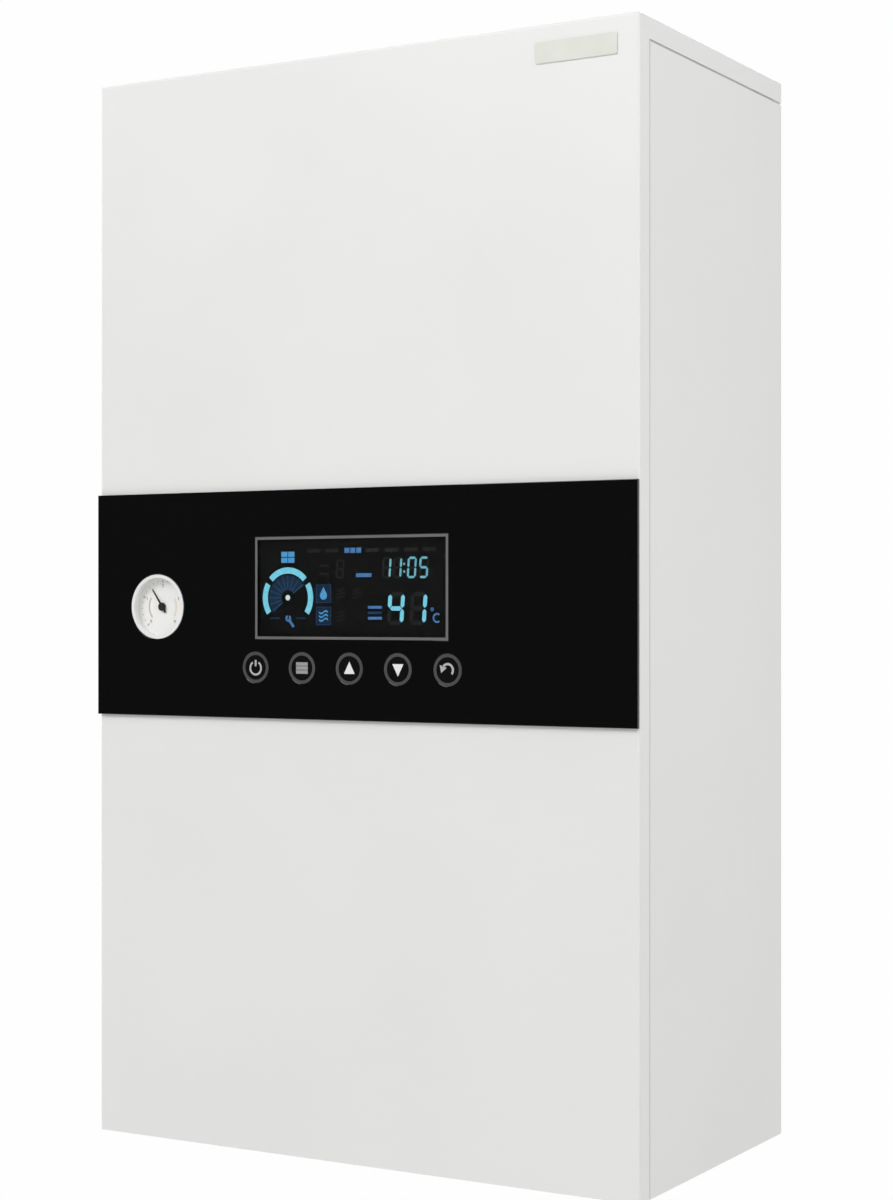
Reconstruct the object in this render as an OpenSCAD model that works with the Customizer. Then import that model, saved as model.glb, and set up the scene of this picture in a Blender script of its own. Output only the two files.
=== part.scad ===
// Wall-hung electric combi boiler with a tank of immersion elements for heating
// and a plate heat exchanger for tap water. Millimetres, x to the viewer's right,
// y into the wall, z up. The origin is midway between the two wall bolts, on the wall.

/* [Case] */
// Width of the case
case_w = 440; // [430:2:480]
// Height of the case
case_h = 770; // [762:2:820]
// Depth of the case from the wall to the front sheet
case_d = 240; // [236:1:270]
// Height of the case top above the wall bolts
case_rise = 45; // [42:1:55]
// Thickness of the sheet steel
sheet_t = 1; // [0.8:0.1:1.2]
// Outer radius of the folded edges of the front cover
edge_r = 2; // [1.5:0.1:4]
// Depth of the front cover's side returns and height of its top lips
return_d = 15; // [13:0.5:18]
// Shadow gap under the top lips
shadow_gap = 1.6; // [1:0.1:3]
// Gap of the upright seams behind the front
seam_gap = 0.8; // [0.4:0.1:2]
// Width of the inward folds of the side panels
fold_w = 12; // [8:1:16]
// Distance of the back panel from the wall
back_space = 12; // [10:1:14]

/* [Wall bracket] */
// Length of the wall bracket
bracket_w = 300; // [290:5:340]
// Height of the wall bracket
bracket_h = 40; // [30:2:50]
// Thickness of the wall bracket
bracket_t = 2; // [1.5:0.5:3]
// Spacing of the two wall bolts
bolt_pitch = 260; // [240:5:265]
// Diameter of the wall bolt holes
bolt_hole_d = 9; // [7:0.5:11]
// Spacing of the two hooks
hook_pitch = 160; // [120:5:180]
// Width of each hook
hook_w = 40; // [30:2:50]

/* [Glass band] */
// Height of the black glass band
glass_h = 161; // [156:1:175]
// Height of the band's lower edge above the case bottom
glass_rise = 307; // [300:1:325]
// Thickness of the glass
glass_t = 3; // [2:0.5:4]
// Width of the display
lcd_w = 158; // [140:1:165]
// Height of the display
lcd_h = 72; // [60:1:76]
// Height of the display's centre above the band's lower edge
lcd_rise = 92; // [90:1:100]
// Depth of the display module
lcd_t = 8; // [6:0.5:9]
// Spacing of the five keys
key_pitch = 39.3; // [32:0.5:42]
// Height of the key row above the band's lower edge
key_rise = 36; // [33:0.5:38]
// Outer diameter of the key rings
ring_d = 22; // [20:0.5:25]
// Face width of the key rings
ring_w = 2.2; // [1.5:0.1:3]
// Travel of the keys
key_travel = 0.8; // [0.4:0.1:1.2]

/* [Pressure gauge] */
// Outer diameter of the gauge
gauge_d = 46.6; // [40:0.5:52]
// Distance of the gauge's centre from the left side of the case
gauge_inset = 54.7; // [50:0.5:60]
// Height of the gauge's centre above the band's lower edge
gauge_rise = 79; // [70:1:90]
// Depth of the gauge case
gauge_t = 31; // [28:1:34]
// Depth of the dial behind the gauge's front
dial_depth = 6.7; // [5:0.1:8]

/* [Pipes] */
// Spacing of the four tails below the case
tail_pitch = 75; // [72:1:76]
// Distance of the pipes from the wall
pipe_space = 130; // [128:1:131]
// Length of the tails below the case
tail_drop = 20; // [15:1:40]
// Diameter of the heating tails (G 3/4)
heat_tail_d = 26.44; // [24:0.1:27]
// Diameter of the tap water tails (G 1/2)
water_tail_d = 20.96; // [18:0.1:22]
// Outer diameter of the heating pipes
heat_pipe_d = 22; // [20:0.5:23]
// Outer diameter of the tap water pipes
water_pipe_d = 15; // [12:0.5:16]
// Wall of the pipes
pipe_wall = 1; // [0.7:0.1:1.5]

/* [Tank] */
// Outer diameter of the tank
tank_d = 104; // [100:1:106]
// Gap between the pump's upper port and the tank
tank_gap = 40; // [32:1:50]
// Wall of the tank
tank_wall = 2; // [1.5:0.5:3]
// Outer diameter of the bolted flange
flange_d = 130; // [128:1:131]
// Thickness of each flange plate
flange_t = 10; // [8:1:12]
// Bolts round the flange
bolt_count = 8; // [6:1:12]
// Hairpin elements
hairpins = 6; // [3:1:6]
// Diameter of an element's tube
element_d = 8.2; // [6.5:0.1:9]

/* [Expansion vessel] */
// Width of the flat expansion vessel
vessel_w = 300; // [280:2:300]
// Height of the expansion vessel
vessel_h = 330; // [280:5:345]
// Depth of the expansion vessel
vessel_t = 50; // [40:1:51]

/* [Heat exchanger and pump] */
// Width of the plate heat exchanger
hx_w = 190; // [185:1:192]
// Height of the plate heat exchanger
hx_h = 74; // [70:1:78]
// Number of plates
hx_plates = 14; // [10:2:20]
// Thickness of the plate pack
hx_t = 42; // [36:1:44]
// Port to port length of the pump
pump_span = 130; // [126:1:132]
// Largest outer radius of the pump's volute
volute_r = 50; // [48:0.5:50.5]
// Radius of the impeller
impeller_r = 32; // [28:1:34]
// Vanes of the impeller
vanes = 6; // [4:1:8]
// Radius of the pump motor
motor_r = 40; // [36:1:42]
// Room left between the pump motor and the front sheet
motor_room = 17; // [12:1:24]

/* [Electrical] */
// Width of the control tray
tray_w = 211; // [205:1:214]
// Gap between the flow pipe's middle and the control tray
tray_gap = 40; // [36:1:60]
// Distance of the control tray from the wall
tray_space = 90; // [86:1:94]
// Cable bore of the supply gland
supply_d = 17; // [12:0.5:18]
// Cable bore of the control gland
control_d = 9; // [6:0.5:12]

/* [Hidden] */
$fn = 48;

// How far a cut runs past the face that it goes through
over = 1;
// Radial clearance of a running fit
fit = 0.05;
// Gap between pieces of different bodies
slip = 0.3;

// Case planes
half_w = case_w / 2;
in_w = half_w - sheet_t;
top_z = case_rise;
bot_z = case_rise - case_h;
front_y = -case_d;
side_y = front_y + return_d + seam_gap;
side_top = top_z - return_d - shadow_gap;
panel_y = -back_space - sheet_t;
floor_z = bot_z + 2 * sheet_t + slip;
floor_low = floor_z - sheet_t;
floor_fold = 15;
floor_front = 2.5;
slide_w = in_w - slip;
notch = 25;

// Hooks of the wall bracket
hook_z = 10;
hook_lip = 12;
hook_gap = 1;
hook_reach = back_space + sheet_t + hook_gap + bracket_t;

// Cover screws and the fold that they clamp
fold_d = 40;
screw_set = 10;
screw_in = 40;
screw_x = half_w - screw_in;
screw_y = front_y + fold_d - screw_set;
screw_r = 2;
screw_head_r = 4;
screw_head_h = 2.6;
screw_slot_r = 0.5;
screw_boss_r = 3.2;
screw_boss_h = 4;

// Glass band and what lies behind it
glass_z = bot_z + glass_rise;
lcd_z = glass_z + lcd_rise;
lcd_gap = 2;
key_z = glass_z + key_rise;
bezel_proud = 0.2;
bezel_lip = 2;
bezel_back = front_y + 2 * sheet_t;
ring_in = ring_d / 2 - ring_w;
key_r = ring_in - 2 * fit;
key_flange_t = 1;
key_flange_w = 1;
key_stem_r = 3;
key_free = 1.1 * key_travel;
housing_rim = 9;
housing_wall = 2;
housing_d = 17;
housing_x = 2 * key_pitch + ring_d / 2 + housing_rim;
housing_low = key_z - ring_d / 2 - bezel_lip - housing_rim / 2;
housing_high = lcd_z + lcd_h / 2 + housing_rim;
housing_y = front_y + sheet_t;
board_t = 1.6;
board_set = 10;
board_y = front_y + board_set;
board_play = 2;
switch_w = 6;
switch_h = 3.5;
plunger_r = 1.75;
plunger_h = 1;
socket_x = -80;
socket_drop = 11;
socket_z = lcd_z + lcd_h / 2 - socket_drop;
socket_w = 24;
socket_h = 8;
socket_t = 4;
plug_t = 8;
plug_gap = 0.5;
post_r = 3;

// Pressure gauge
gauge_x = -half_w + gauge_inset;
gauge_z = glass_z + gauge_rise;
gauge_r = gauge_d / 2;
gauge_wall = 1.5;
gauge_proud = 0.2;
gauge_y = front_y - glass_t - gauge_proud;
gauge_lip = 0.8;
dial_y = gauge_y + dial_depth;
dial_t = 0.8;
lens_t = 1.5;
pointer_hub_r = 3;
pointer_t = 0.6;
pointer_len = 15.5;
pointer_tail = 5;
pointer_w = 1.6;
pointer_rest = 35;
pointer_pin_r = 1;
pointer_gap = 0.6;
gauge_gap = 0.4;
gauge_flange = 3.2;
gauge_flange_t = 1.5;
bracket_plate = 1.5;
gauge_nose_r = 6;
gauge_nose = 6;
bracket_rim = 26;

// Pipe planes and radii
pipe_y = -pipe_space;
flow_x = -120;
hot_x = flow_x + tail_pitch;
cold_x = flow_x + 2 * tail_pitch;
return_x = flow_x + 3 * tail_pitch;
tail_z = bot_z - tail_drop;
heat_r = heat_pipe_d / 2;
heat_bore = heat_r - pipe_wall;
water_r = water_pipe_d / 2;
water_bore = water_r - pipe_wall;
heat_tail_r = heat_tail_d / 2;
water_tail_r = water_tail_d / 2;
collar = 1;
group_rise = 20;
group_z = floor_z + group_rise;
body_r = 15;
small_body_r = 9;
hole_gap = 1;
nut_h = 8;
nut_w = 5;
heat_bend = 30;
water_bend = 18;
pump_rise = 225;
pump_z = bot_z + pump_rise;
pump_top = pump_z + pump_span / 2;
pump_low = pump_z - pump_span / 2;

// Tank and heater
tank_r = tank_d / 2;
tank_drop = 110;
tank_top = top_z - tank_drop;
tank_bot = pump_top + tank_gap;
tank_h = tank_top - tank_bot;
knuckle = 18;
flange_r = flange_d / 2;
gasket_t = 2;
heater_z = tank_top + gasket_t;
heater_top = heater_z + flange_t;
bolt_r = 3;
bolt_shift = 0.3;
bolt_circle = (tank_r + flange_r) / 2 - bolt_shift;
bolt_head_w = 5;
bolt_head_h = 4;
bolt_gap = 0.3;
element_r = element_d / 2;
leg_in = 14;
leg_out = 36;
leg_rise = 40;
leg_low = tank_bot + leg_rise;
insulator_r = 5;
insulator_h = 8;
stud_r = 2.5;
stud_h = 10;
tee_x = 20;
tee_drop = 30;
tee_z = tank_top - tee_drop;
tee_r = 14;
tee_reach = 17;
vent_r = 16;
vent_h = 45;
vent_neck = 4;
spigot_r = 5;
spigot_h = 12;
cap_r = 7.5;
cap_t = 1.5;
cap_ribs = 12;
cap_rib_r = 0.5;
bulb_r = 3.5;
bulb_boss_r = 6;
bulb_drop = 75;
bulb_z = tank_top - bulb_drop;
bulb_back = 22;
bulb_y = pipe_y + bulb_back;
bulb_len = 14;
strap_gap = 3;
strap_t = 2;
strap_h = 40;
strap_x = vessel_w / 2 + strap_gap;
foot_share = 0.45;
strap_foot = foot_share * (in_w - strap_x);
strap_inset = 40;

// Expansion vessel
vessel_rise = 20;
vessel_top = tank_top + vessel_rise;
vessel_corner = 40;
vessel_edge = 12;
seam_proud = 3;
vessel_wall = 1.5;
seam_t = 3;
vessel_y = panel_y - vessel_t / 2;
nozzle_r = 8;
nozzle_h = 15;
hose_r = 6;
hose_bore = 4;
hose_bend = 25;
hose_rise = 60;
hose_z = bot_z + hose_rise;

// Lower water side
flow_rise = 285;
flow_z = bot_z + flow_rise;
flow_drop = 40;
diverter_top = flow_z - flow_drop;
diverter_rise = 190;
diverter_z = bot_z + diverter_rise;
hx_x = (flow_x + return_x) / 2;
hx_back = 22;
hx_y = panel_y - hx_back;
hx_front = hx_y - hx_t;
hx_port_edge = 18;
hx_port_x = hx_w / 2 - hx_port_edge;
hx_port_z = 20;
hx_port_len = 8;
hx_step = 1.5;
hx_foot = 12;
branch_r = 9;
branch_bore = 8;
spindle_r = 3;
spindle_boss = 22;
spindle_travel = 6;
chamber_r = 11;
chamber_h = 50;
paddle_r = 6;
paddle_t = 4;
paddle_set = 6;
motor_w = 50;
motor_h = 60;
motor_d_share = 0.575;
motor_d = motor_d_share * (pipe_y - spindle_boss - front_y - sheet_t);
motor_corner = 8;

// Pump
volute_t = 44;
volute_grow = 8;
volute_wall = 5;
volute_back = pipe_y + volute_t / 2;
volute_front = pipe_y - volute_t / 2;
chamber_set = 2;
chamber_t = 16;
chamber_front = volute_front + chamber_set;
chamber_back = chamber_front + chamber_t;
suction_set = 14;
suction_y = volute_back - suction_set;
suction_r = 8;
eye_r = 10;
impeller_t = 12;
impeller_gap = 2;
impeller_front = chamber_front + impeller_gap;
shroud_t = 1.5;
hub_r = 8;
vane_t = 2;
vane_r = 20;
shaft_r = 4;
can_r = 21;
rotor_r = 20;
motor_flange_r = 47;
motor_flange_t = 4;
motor_cap = 10;
motor_len = volute_front - front_y - sheet_t - motor_room;
motor_plug_r = 9;
motor_plug_t = 2;
fin_w = 2;
fins = 24;
rotor_gap = 2;
terminal_box_share = 0.6;
terminal_box = terminal_box_share * (motor_len - motor_cap - motor_flange_t);
terminal_reach = 13;

// Return group, safety valve and drain
safety_side = 45;
safety_x = return_x + safety_side;
safety_rise = 115;
safety_z = bot_z + safety_rise;
safety_r = 14;
safety_depth = 18;
safety_out_r = 9;
safety_drop = 30;
safety_nose = 7;
knob_r = 13;
knob_t = 18;
knob_lobes = 6;
knob_notch_r = 3;
socket_r = 9.5;
socket_len = 12;
port_nose = 22;
capillary_r = 1.5;
capillary_rise = 85;
capillary_z = bot_z + capillary_rise;
capillary_y = (gauge_y + gauge_t + gauge_nose + pipe_y - port_nose) / 2;
capillary_side = 57;
capillary_x = return_x - capillary_side;
capillary_bend = 6;
drain_rise = 40;
drain_z = bot_z + drain_rise;
drain_boss_r = 8;
drain_knob_r = 11;
drain_knob_t = 13;
stem_r = 3;
stem_in = 8;

// Cold water inlet, filling valve and flow sensor
block_w = 30;
block_h = 22;
block_z = group_z + block_h;
fill_z = group_z + block_h / 2;
fill_x = (cold_x + return_x) / 2;
fill_r = 7;
fill_bore = 4;
fill_knob_r = 12;
fill_knob_t = 13;
fill_knob_gap = 3;
sensor_r = 11;
sensor_h = 30;
sensor_box = 16;
sensor_reach = 8;
hx_gap = 7.7;
hx_z = block_z + sensor_h + water_bend + hx_port_z + hx_gap;

// Control tray and what it carries
tray_y = -tray_space - sheet_t;
tray_drop = 13;
tray_low = flow_z + tray_gap;
tray_top = side_top - tray_drop;
tray_x = -in_w + tray_w;
tray_fold = 30;
board_w = 140;
board_h_share = 0.55;
board_in = 14;
board_x = -in_w + board_in;
board_lift = 8;
board_z = tray_low + board_lift;
header_in = 125;
header_x = board_x + header_in;
stand_h = 8;
relay = [20, 16, 30];
relay_pitch = 28;
relays = 4;
coil = [42, 32, 36];
header = [24, 8, 8];
contactor_w = 60;
contactor_h = 80;
contactor_d = 80;
contactor_in = 139;
contactor_x = -in_w + contactor_in;
contactor_drop = 125;
contactor_z = tray_top - contactor_drop;
board_h = board_h_share * (contactor_z - tray_low);
contactor_step = 18;
pole_pitch = 18;
pole_slot = 12;
slider_w = 10;
slider_h = 6;
slider_in = 8;
slider_out = 1;
slider_travel = 4;
slider_gap = 0.3;
block_strip = [74, 34, 40];
strip_in = 19;
strip_x = -in_w + strip_in;
strip_drop = 85;
strip_z = tray_top - strip_drop;
strip_ways = 5;
strip_screw_r = 4;
strip_screw_d = 6;
thermostat = [40, 35, 40];
thermostat_in = 29;
thermostat_x = -in_w + thermostat_in;
thermostat_z = bulb_z - thermostat[2] / 2;
button_boss_r = 7;
button_boss = 4;
button_r = 4;
button_len = 14;
button_out = 5;
wire_hole_r = 4;
probe_r = 1.2;

// Cable glands
gland_in = 40;
gland_x = -half_w + gland_in;
supply_y = -60;
control_y = -100;
gland_wall = 3.5;
gland_nut_h = 5;
gland_hex_h = 6;
gland_dome = 14;

// Leads
lead_r = 2.2;
lead_bend = 8;
lead_rise = [50, 57, 64];
lead_turn = 120;
rail_share = 0.59;
rail_d = rail_share * (pipe_y - leg_out - lead_r - side_y);
cable_r = 2.5;
cable_fore = 40;
cable_y = front_y + cable_fore;

// A box between two opposite corners
module block(low, high) {
  translate(low) cube(high - low);
}

// Round bars along x, y and z, between two planes
module bar_x(y, z, x0, x1, r) {
  translate([x0, y, z]) rotate([0, 90, 0]) cylinder(r = r, h = x1 - x0);
}

module bar_y(x, z, y0, y1, r) {
  translate([x, y0, z]) rotate([-90, 0, 0]) cylinder(r = r, h = y1 - y0);
}

module bar_z(x, y, z0, z1, r) {
  translate([x, y, z0]) cylinder(r = r, h = z1 - z0);
}

// A hexagon bar along z; r is half its width across the flats
module hex_z(x, y, z0, z1, r) {
  translate([x, y, z0]) cylinder(r = r / cos(30), h = z1 - z0, $fn = 6);
}

// A flat ring, or a disc where the bore is zero
module ring(r, bore) {
  difference() {
    circle(r);
    if (bore > 0) circle(bore);
  }
}

// A rectangle about the centre with round corners
module round_rect(w, h, r) {
  square([w - 2 * r, h], center = true);
  square([w, h - 2 * r], center = true);
  for (x = [-1, 1], y = [-1, 1]) translate([x * (w / 2 - r), y * (h / 2 - r)]) circle(r);
}

// Extrudes an outline drawn in x and z along y, from y0 to y1
module along_y(y0, y1) {
  translate([0, y1, 0]) rotate([90, 0, 0]) linear_extrude(y1 - y0) children();
}

function unit(v) = v / norm(v);
function bend_angle(a, b) = acos(unit(a) * unit(b));
function bite(p, i, bend) =
  i == 0 || i == len(p) - 1 ? 0 : bend * tan(bend_angle(p[i] - p[i - 1], p[i + 1] - p[i]) / 2);
function across(d) = unit(cross(abs(d[2]) < norm(d) / 2 ? [0, 0, 1] : [1, 0, 0], d));

// Puts a shape's own axes on u, v and w at a point
module seat(at, u, v, w) {
  multmatrix([[u[0], v[0], w[0], at[0]], [u[1], v[1], w[1], at[1]], [u[2], v[2], w[2], at[2]], [0, 0, 0, 1]])
    children();
}

// A pipe along straight runs joined by round bends; a bore of zero makes it solid
module pipe(p, bend, r, bore) {
  for (i = [0 : len(p) - 2]) {
    d = unit(p[i + 1] - p[i]);
    a = p[i] + d * bite(p, i, bend);
    b = p[i + 1] - d * bite(p, i + 1, bend);
    seat(a, across(d), cross(d, across(d)), d) linear_extrude(norm(b - a)) ring(r, bore);
    if (i > 0) {
      c = unit(p[i] - p[i - 1]);
      n = unit(d - c * (c * d));
      seat(p[i] - c * bite(p, i, bend) + n * bend, -n, c, cross(-n, c))
        rotate_extrude(angle = bend_angle(c, d)) translate([bend, 0]) ring(r, bore);
    }
  }
}

// Plate on the wall with two bolt holes and two hooks
module wall_bracket() {
  color("silver") difference() {
    union() {
      block([-bracket_w / 2, -bracket_t, -bracket_h / 2], [bracket_w / 2, 0, bracket_h / 2]);
      for (s = [-1, 1]) translate([s * hook_pitch / 2 - hook_w / 2, -hook_reach, hook_z - bracket_t]) {
        cube([hook_w, hook_reach, bracket_t]);
        cube([hook_w, bracket_t, bracket_t + hook_lip]);
      }
    }
    for (s = [-1, 1]) bar_y(s * bolt_pitch / 2, 0, -bracket_t - over, over, bolt_hole_d / 2);
  }
}

// Folded pan that carries the inside and hangs on the hooks
module back_panel() {
  rim = top_z - sheet_t - slip;
  slot_low = hook_z - hook_lip - bracket_t - hook_gap;
  color("gainsboro") difference() {
    union() {
      block([-in_w, panel_y, floor_z], [in_w, -back_space, side_top]);
      block([-slide_w, panel_y, side_top], [slide_w, -back_space, rim]);
      block([-slide_w, panel_y - fold_w, rim - sheet_t], [slide_w, panel_y, rim]);
      for (s = [0, 1]) mirror([s, 0, 0])
        block([in_w - sheet_t, -back_space, floor_z], [in_w, 0, side_top]);
    }
    for (s = [-1, 1]) translate([s * hook_pitch / 2, 0, 0])
      block([-hook_w / 2 - hook_gap, panel_y - over, slot_low],
        [hook_w / 2 + hook_gap, -back_space + over, hook_z]);
  }
}

// Right side panel with its inward folds; the left one is its mirror image
module side_panel() {
  color("whitesmoke") {
    block([in_w, side_y, bot_z], [half_w, 0, side_top]);
    block([half_w - fold_w, side_y, bot_z + notch], [in_w, side_y + sheet_t, side_top]);
    block([half_w - fold_w, side_y, side_top - sheet_t], [in_w, panel_y, side_top]);
  }
}

module side_panel_right() side_panel();
module side_panel_left() mirror([1, 0, 0]) side_panel();

// Bottom panel with upturned folds, holes for the pipes and bosses for the screws
module bottom_panel() {
  front = front_y + floor_front;
  color("gainsboro") difference() {
    union() {
      block([-in_w, side_y + floor_front, floor_low], [in_w, 0, floor_z]);
      block([-slide_w, front, floor_low], [slide_w, side_y + floor_front, floor_z]);
      block([-slide_w, front, floor_low], [slide_w, front + sheet_t, floor_low + floor_fold]);
      for (s = [0, 1]) mirror([s, 0, 0]) {
        block([in_w - sheet_t, side_y + floor_front, floor_low], [in_w, panel_y, floor_low + floor_fold]);
        bar_z(screw_x, screw_y, floor_z, floor_z + screw_boss_h, screw_boss_r);
      }
    }
    for (x = [flow_x, return_x]) hole(x, pipe_y, heat_tail_r + collar + hole_gap);
    for (x = [hot_x, cold_x]) hole(x, pipe_y, water_tail_r + collar + hole_gap);
    hole(safety_x, pipe_y, water_r + hole_gap);
    hole(fill_x, pipe_y, stem_r + hole_gap);
    hole(gland_x, supply_y, supply_d / 2 + collar);
    hole(gland_x, control_y, control_d / 2 + collar);
    for (s = [-1, 1]) bar_z(s * screw_x, screw_y, floor_low - over, floor_z + screw_boss_h + over,
      screw_r + fit);
  }
}

module hole(x, y, r) {
  bar_z(x, y, floor_low - over, floor_z + over, r);
}

// Folded cross rail that the top of the cover rests on
module top_rail() {
  rim = top_z - sheet_t - slip;
  y1 = side_y + rail_d;
  color("gainsboro") {
    block([-slide_w, side_y + sheet_t, side_top], [slide_w, side_y + 2 * sheet_t, rim]);
    block([-slide_w, side_y + sheet_t, side_top], [slide_w, y1, side_top + sheet_t]);
    block([-slide_w, side_y + sheet_t, rim - sheet_t], [slide_w, y1, rim]);
  }
}

// Two screws that clamp the cover's bottom fold from below
module cover_screws() {
  head = bot_z - slip;
  color("dimgray") for (s = [-1, 1]) {
    bar_z(s * screw_x, screw_y, head, floor_z + screw_boss_h + screw_r, screw_r);
    difference() {
      bar_z(s * screw_x, screw_y, head - screw_head_h, head, screw_head_r);
      block([s * screw_x - screw_head_r - over, screw_y - screw_slot_r, head - screw_head_h - over],
        [s * screw_x + screw_head_r + over, screw_y + screw_slot_r, head - screw_head_h / 2]);
    }
  }
}

// The cover's outer form, drawn in by an inset, with round front and top edges
module cover_form(inset) {
  r = edge_r - inset;
  w = case_w - 2 * inset;
  y0 = front_y + inset;
  y1 = inset > 0 ? over : 0;
  z0 = bot_z + inset;
  z1 = top_z - inset;
  intersection() {
    translate([0, 0, z0]) linear_extrude(z1 - z0) translate([0, (y0 + y1 + r) / 2])
      soft_front(w, y1 + r - y0, r);
    along_y(y0, y1) translate([0, (z0 + z1 - r) / 2]) mirror([0, 1])
      soft_front(w, z1 - z0 + r, r);
    translate([-w / 2, 0, 0]) rotate([90, 0, 90]) linear_extrude(w)
      translate([(y0 + y1 + r) / 2, (z0 + z1 - r) / 2]) round_rect(y1 + r - y0, z1 - z0 + r, r);
  }
}

// A rectangle about the centre; only a round corner's worth of it is lost at the low edge
module soft_front(w, h, r) {
  round_rect(w, h, r);
  translate([-w / 2, 0]) square([w, h / 2]);
}

// Hood: front, side returns, bottom fold with open slots, and the top with its lips
module front_cover() {
  color("whitesmoke") difference() {
    cover_form(0);
    cover_form(sheet_t);
    block([-case_w, front_y + return_d, bot_z + sheet_t], [case_w, over, top_z - return_d]);
    block([-case_w, front_y + fold_d, bot_z - over], [case_w, over, top_z - return_d]);
    for (s = [0, 1]) mirror([s, 0, 0])
      block([slide_w, front_y + return_d, bot_z - over], [case_w, over, top_z - return_d]);
    block([-lcd_w / 2 - lcd_gap, front_y - over, lcd_z - lcd_h / 2 - lcd_gap],
      [lcd_w / 2 + lcd_gap, front_y + return_d, lcd_z + lcd_h / 2 + lcd_gap]);
    key_holes();
    bar_y(gauge_x, gauge_z, front_y - over, front_y + return_d, gauge_r + gauge_gap);
    for (s = [-1, 1]) {
      bar_z(s * screw_x, screw_y, bot_z - over, bot_z + sheet_t + over, screw_r + slip);
      block([s * screw_x - screw_r - slip, screw_y, bot_z - over],
        [s * screw_x + screw_r + slip, front_y + fold_d + over, bot_z + sheet_t + over]);
    }
  }
}

module key_holes() {
  for (i = [-2 : 2])
    bar_y(i * key_pitch, key_z, front_y - glass_t - over, front_y + return_d, ring_d / 2 + fit);
}

// Black glass over the full width
module control_glass() {
  color([0.04, 0.04, 0.05]) difference() {
    block([-half_w, front_y - glass_t, glass_z], [half_w, front_y, glass_z + glass_h]);
    key_holes();
    bar_y(gauge_x, gauge_z, front_y - glass_t - over, front_y + over, gauge_r + gauge_gap);
  }
}

// Moulded tray behind the front sheet that holds the display and its board
module display_housing() {
  w = housing_wall;
  back = housing_y + housing_d;
  color("darkslategray") {
    difference() {
      block([-housing_x, housing_y, housing_low], [housing_x, back, housing_high]);
      block([w - housing_x, housing_y - over, housing_low + w], [housing_x - w, back - w, housing_high - w]);
      block([socket_x - socket_w / 2 - post_r, back - w - over, socket_z - socket_h / 2 - post_r],
        [socket_x + socket_w / 2 + post_r, back + over, socket_z + socket_h / 2 + post_r]);
    }
    for (x = [-1, 1], z = [housing_low + w + 2 * post_r, housing_high - w - 2 * post_r])
      bar_y(x * (housing_x - w - 2 * post_r), z, board_y + board_t, back - w, post_r);
  }
}

module lcd_module() {
  color([0.1, 0.12, 0.16])
    block([-lcd_w / 2, front_y, lcd_z - lcd_h / 2], [lcd_w / 2, front_y + lcd_t, lcd_z + lcd_h / 2]);
}

// Circuit board with the key switches, the posts under the display and the cable socket
module display_board() {
  w = housing_wall + board_play / 2;
  color("darkgreen") {
    block([w - housing_x, board_y, housing_low + w], [housing_x - w, board_y + board_t, housing_high - w]);
    for (x = [-1, 1], z = [-1, 1])
      bar_y(x * (lcd_w / 2 - post_r), lcd_z + z * (lcd_h / 2 - post_r), front_y + lcd_t, board_y,
        post_r - over);
    for (i = [-2 : 2]) {
      block([i * key_pitch - switch_w / 2, board_y - switch_h, key_z - switch_w / 2],
        [i * key_pitch + switch_w / 2, board_y, key_z + switch_w / 2]);
      bar_y(i * key_pitch, key_z, board_y - switch_h - plunger_h, board_y - switch_h, plunger_r);
    }
    block([socket_x - socket_w / 2, board_y + board_t, socket_z - socket_h / 2],
      [socket_x + socket_w / 2, board_y + board_t + socket_t, socket_z + socket_h / 2]);
  }
}

// Five rings, each held by a flange behind the front sheet
module key_bezels() {
  color("dimgray") for (i = [-2 : 2]) translate([i * key_pitch, 0, key_z]) difference() {
    union() {
      bar_y(0, 0, front_y - glass_t - bezel_proud, bezel_back, ring_d / 2);
      bar_y(0, 0, front_y + sheet_t, bezel_back, ring_d / 2 + bezel_lip);
    }
    bar_y(0, 0, front_y - glass_t - bezel_proud - over, bezel_back + over, ring_in);
  }
}

// A key cap with its stem; the flange behind the ring keeps it in
module key_cap(i) {
  y0 = front_y - glass_t;
  y1 = bezel_back + slip;
  color([0.06, 0.06, 0.07]) translate([i * key_pitch, 0, key_z]) {
    bar_y(0, 0, y0, y1, key_r);
    bar_y(0, 0, y1, y1 + key_flange_t, ring_in + key_flange_w);
    bar_y(0, 0, y1 + key_flange_t, board_y - switch_h - plunger_h - key_free, key_stem_r);
  }
}

module power_key() key_cap(-2);
module menu_key() key_cap(-1);
module up_key() key_cap(0);
module down_key() key_cap(1);
module back_key() key_cap(2);

// Gauge case: a cup with a flange that seats on its bracket and a nose for the capillary
module gauge_case() {
  back = gauge_y + gauge_t;
  plate = side_y + sheet_t;
  color("white") translate([gauge_x, 0, gauge_z]) difference() {
    union() {
      bar_y(0, 0, gauge_y, back, gauge_r);
      bar_y(0, 0, plate - gauge_flange_t, plate, gauge_r + gauge_flange);
      bar_y(0, 0, back, back + gauge_nose, gauge_nose_r);
    }
    bar_y(0, 0, gauge_y - over, dial_y + dial_t, gauge_r - gauge_wall - gauge_lip);
    bar_y(0, 0, gauge_y + lens_t, dial_y + dial_t, gauge_r - gauge_wall);
    bar_y(0, 0, dial_y, dial_y + dial_t + gauge_nose, pointer_pin_r + fit);
  }
}

module gauge_dial() {
  color("white") translate([gauge_x, 0, gauge_z]) difference() {
    bar_y(0, 0, dial_y, dial_y + dial_t, gauge_r - gauge_wall - fit);
    bar_y(0, 0, dial_y - over, dial_y + dial_t + over, pointer_pin_r + fit);
  }
}

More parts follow.
